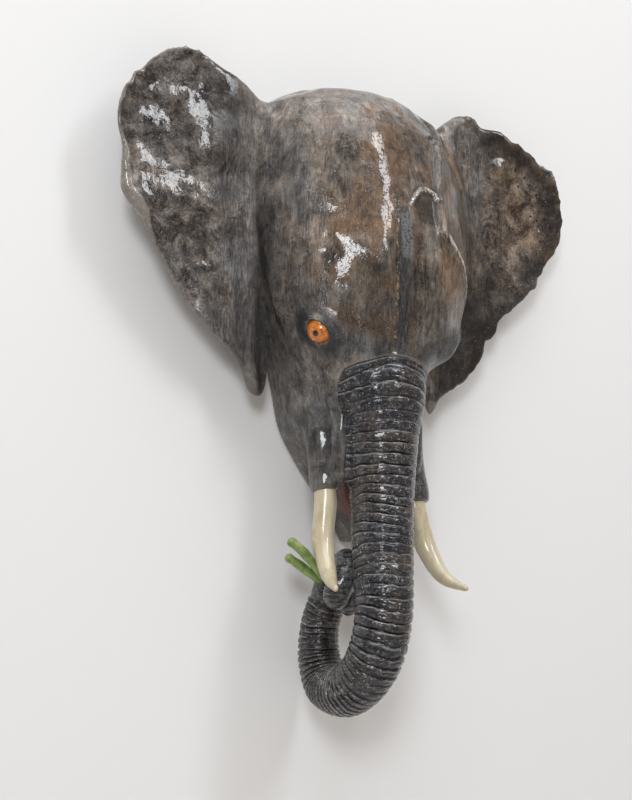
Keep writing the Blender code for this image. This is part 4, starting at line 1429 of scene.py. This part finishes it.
def grey_brown_glaze():
    """Brushed glaze: grey brown, mottled, warm on the forehead and slate round the eyes, with painted shade
    and highlights.
    """
    material, shader = new_material("grey_brown_glaze")
    strokes = texture(1.0, 6.0, 0.66, (640.0, 640.0, 95.0), 0.0, 0.6)
    broad = texture(1.0, 5.0, 0.6, (90.0, 90.0, 30.0), 4.0, 0.9)
    patches = texture(19.0, 5.0, 0.62, shift=9.0, distortion=0.7)
    mottle = texture(58.0, 9.0, 0.76, shift=2.0, distortion=0.6)
    worn = texture(34.0, 8.0, 0.72, shift=21.0, distortion=0.9)
    specks = texture(520.0, 3.0, 0.6, shift=5.0)
    marks = brush_marks(strokes, broad, mottle, worn, specks)
    cracks = scratches(26.0, 0.01, shift=17.0) * spread(patches, 0.44, 0.54)
    fibres = waves(field("strand") + mottle * 0.006, 0.0026)
    rings = waves(field("ring") + mottle * 1.6, 0.22)
    at_eye = fade(field("ring"), 1.1, 2.9)
    by_fold, torn_edge_and_highlight = fold_coats(broad, mottle)
    crumbs = fade(strayed(field("gap"), mottle, 0.006), 0.0012, 0.0024) * spread(specks, 0.5, 0.55)
    flecks = spread(texture(700.0, 1.0, 0.5, shift=27.0), 0.76, 0.8)
    holes = pricked()
    colour = coated(
        ground_tones(marks, patches), *worn_coats_and_crown_sheen(worn, cracks), *seam_coats(strokes),
        *raised_coats(broad, specks, fibres), *by_fold, *eye_coats(mottle, specks, at_eye, rings),
        # Pale crumbs along the torn arch, and the fold's torn edge, partly glaze breaking and partly painted
        # highlight.
        (larger(crumbs, torn_edge_and_highlight), (0.68, 0.65, 0.59)),
        (field("red"), (0.17, 0.045, 0.028)),
        # White flecks: partly light specks in the glaze, partly painted glints.
        (flecks * 0.7, (0.62, 0.6, 0.56)),
        # Painted shade inside the needle pricks.
        (holes, BLACK),
    )
    wrinkles, around_eye = field("folds") * fibres, at_eye * rings
    hatch = field("coarse") * specks
    rough = bumps(
        (strokes, 0.45, 0.0006), (mottle, 0.6, 0.0014), (wrinkles, 0.9, 0.0009), (around_eye, 0.8, 0.0006),
        (hatch, 1.0, 0.0016), (holes, 1.0, -0.0012),
    )
    pits = spread(texture(480.0, 1.0, 0.5, shift=37.0), 0.64, 0.7)
    drawn = field("brushed") * (strokes * 0.6 + mottle * 0.4)
    glossy = bumps(
        (texture(150.0, 3.0, 0.55, shift=36.0), 0.25, 0.0008), (pits, 0.35, -0.0004), (drawn, 0.8, 0.0022),
        (wrinkles, 0.7, 0.0008), (hatch, 0.6, 0.001), (cracks, 0.5, -0.0004), (around_eye, 0.6, 0.0005),
    )
    matt = spread(marks, 0.35, 0.75, 0.32, 0.55) + spread(patches, 0.3, 0.7, -0.08, 0.08)
    set_inputs(shader, {
        "Base Color": colour, "Roughness": matt, "Normal": rough, "Specular IOR Level": 0.1,
        "Coat Weight": 0.85, "Coat Roughness": 0.04, "Coat IOR": 1.5, "Coat Normal": glossy,
    })
    return material


def trunk_glaze():
    """Blue black glaze; light grey on the crests of the folds, partly where it breaks and partly painted
    highlight; painted shade in the grooves.
    """
    material, shader = new_material("trunk_glaze")
    fine = texture(430.0, 5.0, 0.74, shift=6.0)
    mottle = texture(170.0, 7.0, 0.74, shift=1.0, distortion=0.5)
    lines = texture(1.0, 6.0, 0.64, (100.0, 100.0, 640.0), 11.0, 0.5)
    patches = texture(24.0, 4.0, 0.62, shift=8.0)
    marks = mottle * 0.66 + lines * 0.42 + fine * 0.22 - 0.15
    ground = ramp(
        marks, (0.38, 0.004, 0.005, 0.008), (0.47, 0.012, 0.015, 0.022), (0.56, 0.044, 0.049, 0.058),
        (0.66, 0.25, 0.25, 0.245),
    )
    brown = ramp(marks, (0.38, 0.018, 0.013, 0.011), (0.62, 0.135, 0.102, 0.08))
    colour = coated(
        ground,
        (spread(patches, 0.47, 0.58) * 0.5, brown),
        # Crests light grey: partly the glaze breaking, partly painted highlight.
        (field("crest") * spread(lines, 0.42, 0.56) * 0.8, (0.35, 0.345, 0.33)),
        # Light specks: partly in the glaze, partly painted glints.
        (spread(fine, 0.6, 0.65) * 0.85, (0.52, 0.52, 0.5)),
        # Grooves near black: painted shade.
        (spread(field("groove"), 0.1, 0.75), (0.003, 0.003, 0.004)),
    )
    gloss = texture(1.0, 2.0, 0.5, (200.0, 200.0, 420.0), 33.0)
    pits = spread(texture(520.0, 1.0, 0.5, shift=34.0), 0.6, 0.66)
    set_inputs(shader, {
        "Base Color": colour, "Roughness": spread(mottle, 0.35, 0.7, 0.26, 0.46), "Specular IOR Level": 0.1,
        "Normal": bumps((fine, 0.6, 0.001), (lines, 0.6, 0.0009)),
        "Coat Weight": 0.9, "Coat Roughness": 0.04, "Coat IOR": 1.5,
        "Coat Normal": bumps((pits, 0.6, -0.0004), (gloss, 0.45, 0.0008)),
    })
    return material


def ivory_glaze():
    material, shader = new_material("ivory_glaze")
    cloud = texture(55.0, 4.0, 0.55, (1.0, 1.0, 0.5), 3.0, 0.5)
    ground = ramp(cloud, (0.32, 0.49, 0.41, 0.27), (0.52, 0.59, 0.52, 0.36), (0.72, 0.67, 0.61, 0.47))
    colour = coated(
        ground,
        (fade(field("along"), 0.0, 0.09) * 0.55, (0.22, 0.19, 0.14)),
        (spread(texture(38.0, 4.0, 0.6, shift=12.0), 0.6, 0.7) * 0.45, (0.28, 0.28, 0.23)),
    )
    set_inputs(shader, {
        "Base Color": colour, "Roughness": spread(cloud, 0.3, 0.7, 0.24, 0.34),
        "Normal": bumps((cloud, 0.25, 0.0012)), "Coat Weight": 0.7, "Coat Roughness": 0.1,
        "Subsurface Weight": 0.08, "Subsurface Radius": (0.004, 0.003, 0.002),
    })
    return material


def orange_glaze():
    material, shader = new_material("orange_glaze")
    veins = texture(320.0, 4.0, 0.6, shift=2.0)
    ground = ramp(veins, (0.3, 0.3, 0.075, 0.012), (0.52, 0.62, 0.185, 0.022), (0.72, 0.74, 0.3, 0.05))
    set_inputs(shader, {
        "Base Color": mix(fade(field("pupil"), 0.75, 1.15), ground, (0.006, 0.005, 0.005)),
        "Roughness": spread(veins, 0.3, 0.7, 0.16, 0.28),
        "Normal": bumps((veins, 0.2, 0.0005)), "Coat Weight": 0.8, "Coat Roughness": 0.05,
    })
    return material


def green_glaze():
    material, shader = new_material("green_glaze")
    cloud = texture(130.0, 4.0, 0.6, shift=4.0)
    ground = ramp(cloud, (0.3, 0.08, 0.15, 0.026), (0.5, 0.21, 0.31, 0.08), (0.72, 0.34, 0.44, 0.16))
    set_inputs(shader, {
        "Base Color": mix(spread(field("rise"), 0.4, 1.2, 0.0, 0.4), ground, (0.34, 0.42, 0.16)),
        "Roughness": spread(cloud, 0.3, 0.7, 0.28, 0.42),
        "Normal": bumps((cloud, 0.3, 0.001)), "Coat Weight": 0.5, "Coat Roughness": 0.12,
    })
    return material


# Camera, light and stage


CAMERA_PLACE = (-0.5634, -1.0595, -0.24)
CAMERA_YAW = 26.88
CAMERA_PITCH = 6.07
CAMERA_LENS = 55.0
SENSOR_WIDTH = 36.0


def make_camera():
    data = bpy.data.cameras.new("camera")
    data.lens = CAMERA_LENS
    data.sensor_width = SENSOR_WIDTH
    camera = put_in_scene("camera", data)
    camera.location = CAMERA_PLACE
    camera.rotation_euler = (math.radians(90 + CAMERA_PITCH), 0.0, math.radians(-CAMERA_YAW))
    bpy.context.scene.camera = camera


LIGHT_TINT = (0.96, 0.985, 1.02)
WORLD_TINT = (1.0, 0.82, 0.66)
WORLD_STRENGTH = 0.28
STUDIO_MIDDLE = (0.0, -0.1, 0.05)
# Soft boxes: azimuth and elevation in degrees seen from the middle, where 0 is straight in front of
# the face and positive is towards +X; then distance, width and height in metres, and power in watts
SOFT_BOXES = {
    "strip": (31.0, 38.0, 2.6, 0.4, 1.2, 19.0),
    "front": (-31.0, 16.0, 2.4, 0.55, 0.75, 22.0),
    "top": (-8.0, 70.0, 3.2, 3.2, 2.6, 72.0),
}


def soft_box(name, azimuth, elevation, distance, width, height, power):
    """A rectangular light that looks at the studio's middle."""
    data = bpy.data.lights.new(name, "AREA")
    data.shape = "RECTANGLE"
    data.size = width
    data.size_y = height
    data.energy = power
    data.color = LIGHT_TINT
    lamp = put_in_scene(name, data)
    a, e = math.radians(azimuth), math.radians(elevation)
    way = np.array([math.sin(a) * math.cos(e), -math.cos(a) * math.cos(e), math.sin(e)])
    lamp.location = np.asarray(STUDIO_MIDDLE) + distance * way
    tilt = math.atan2(math.hypot(way[0], way[1]), way[2])
    lamp.rotation_euler = (tilt, 0.0, math.atan2(way[0], -way[1]))


# Wall and floor of the stage, in metres; the wall stands just behind the flat back
STAGE_SIDE, STAGE_FRONT, STAGE_TOP, FLOOR_Z = 4, -5, 3, -1.3
WALL_Y = 0.002
WALL_COLOUR = (0.85, 0.862, 0.868)
FLOOR_COLOUR = (0.7, 0.68, 0.66)


def plain_sheet(name, corners, colour, one_sided):
    """A stage plane; a one-sided one can be seen through from its back."""
    mesh = bpy.data.meshes.new(name)
    mesh.from_pydata(corners, [], [(0, 1, 2, 3)])
    sheet = put_in_scene(name, mesh)
    material, shader = new_material(name)
    set_inputs(shader, {"Base Color": colour, "Roughness": 0.9, "Specular IOR Level": 0.1})
    if one_sided:
        clear = result("ShaderNodeBsdfTransparent", {})
        back = result("ShaderNodeNewGeometry", {}, "Backfacing")
        both = result("ShaderNodeMixShader", {0: back, 1: Value(shader.outputs[0]), 2: clear})
        set_inputs(Value.tree.nodes["Material Output"], {"Surface": both})
    mesh.materials.append(material)


def make_studio():
    for name, settings in SOFT_BOXES.items():
        soft_box(name, *settings)
    foot = [(-STAGE_SIDE, WALL_Y, FLOOR_Z), (STAGE_SIDE, WALL_Y, FLOOR_Z)]
    head = [(STAGE_SIDE, WALL_Y, STAGE_TOP), (-STAGE_SIDE, WALL_Y, STAGE_TOP)]
    edge = [(-STAGE_SIDE, STAGE_FRONT, FLOOR_Z), (STAGE_SIDE, STAGE_FRONT, FLOOR_Z)]
    plain_sheet("wall", foot + head, WALL_COLOUR, True)
    plain_sheet("floor", edge + foot[::-1], FLOOR_COLOUR, False)
    world = bpy.data.worlds.new("studio")
    world.use_nodes = True
    set_inputs(world.node_tree.nodes["Background"], {"Color": WORLD_TINT, "Strength": WORLD_STRENGTH})
    bpy.context.scene.world = world
    bpy.context.scene.view_settings.view_transform = "Standard"


def dress(piece, material, slot, *nodes):
    """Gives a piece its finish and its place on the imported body."""
    piece.data.materials.clear()
    piece.data.materials.append(material)
    piece.data.shade_smooth()
    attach(piece, "root")
    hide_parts(*nodes)


def main():
    make_camera()
    make_studio()
    skin, folds = grey_brown_glaze(), trunk_glaze()
    clay = smooth_skin()
    dress(folded_trunk(clay), folds, "grey_brown_glaze", "elephant_head")
    dress(glazed_head(clay), skin, "grey_brown_glaze", "elephant_head")
    dress(trunk_tip(), folds, "grey_brown_glaze", "elephant_head")
    ivory, orange, green = ivory_glaze(), orange_glaze(), green_glaze()
    for name in SIDES:
        dress(ivory_tusk(name), ivory, "ivory_glaze", f"tusk_{name}")
        dress(amber_eye(name), orange, "orange_glaze", f"eye_{name}")
    for name in STEM_LENGTHS:
        dress(green_stem(name), green, "green_glaze", f"stem_{name}")


main()
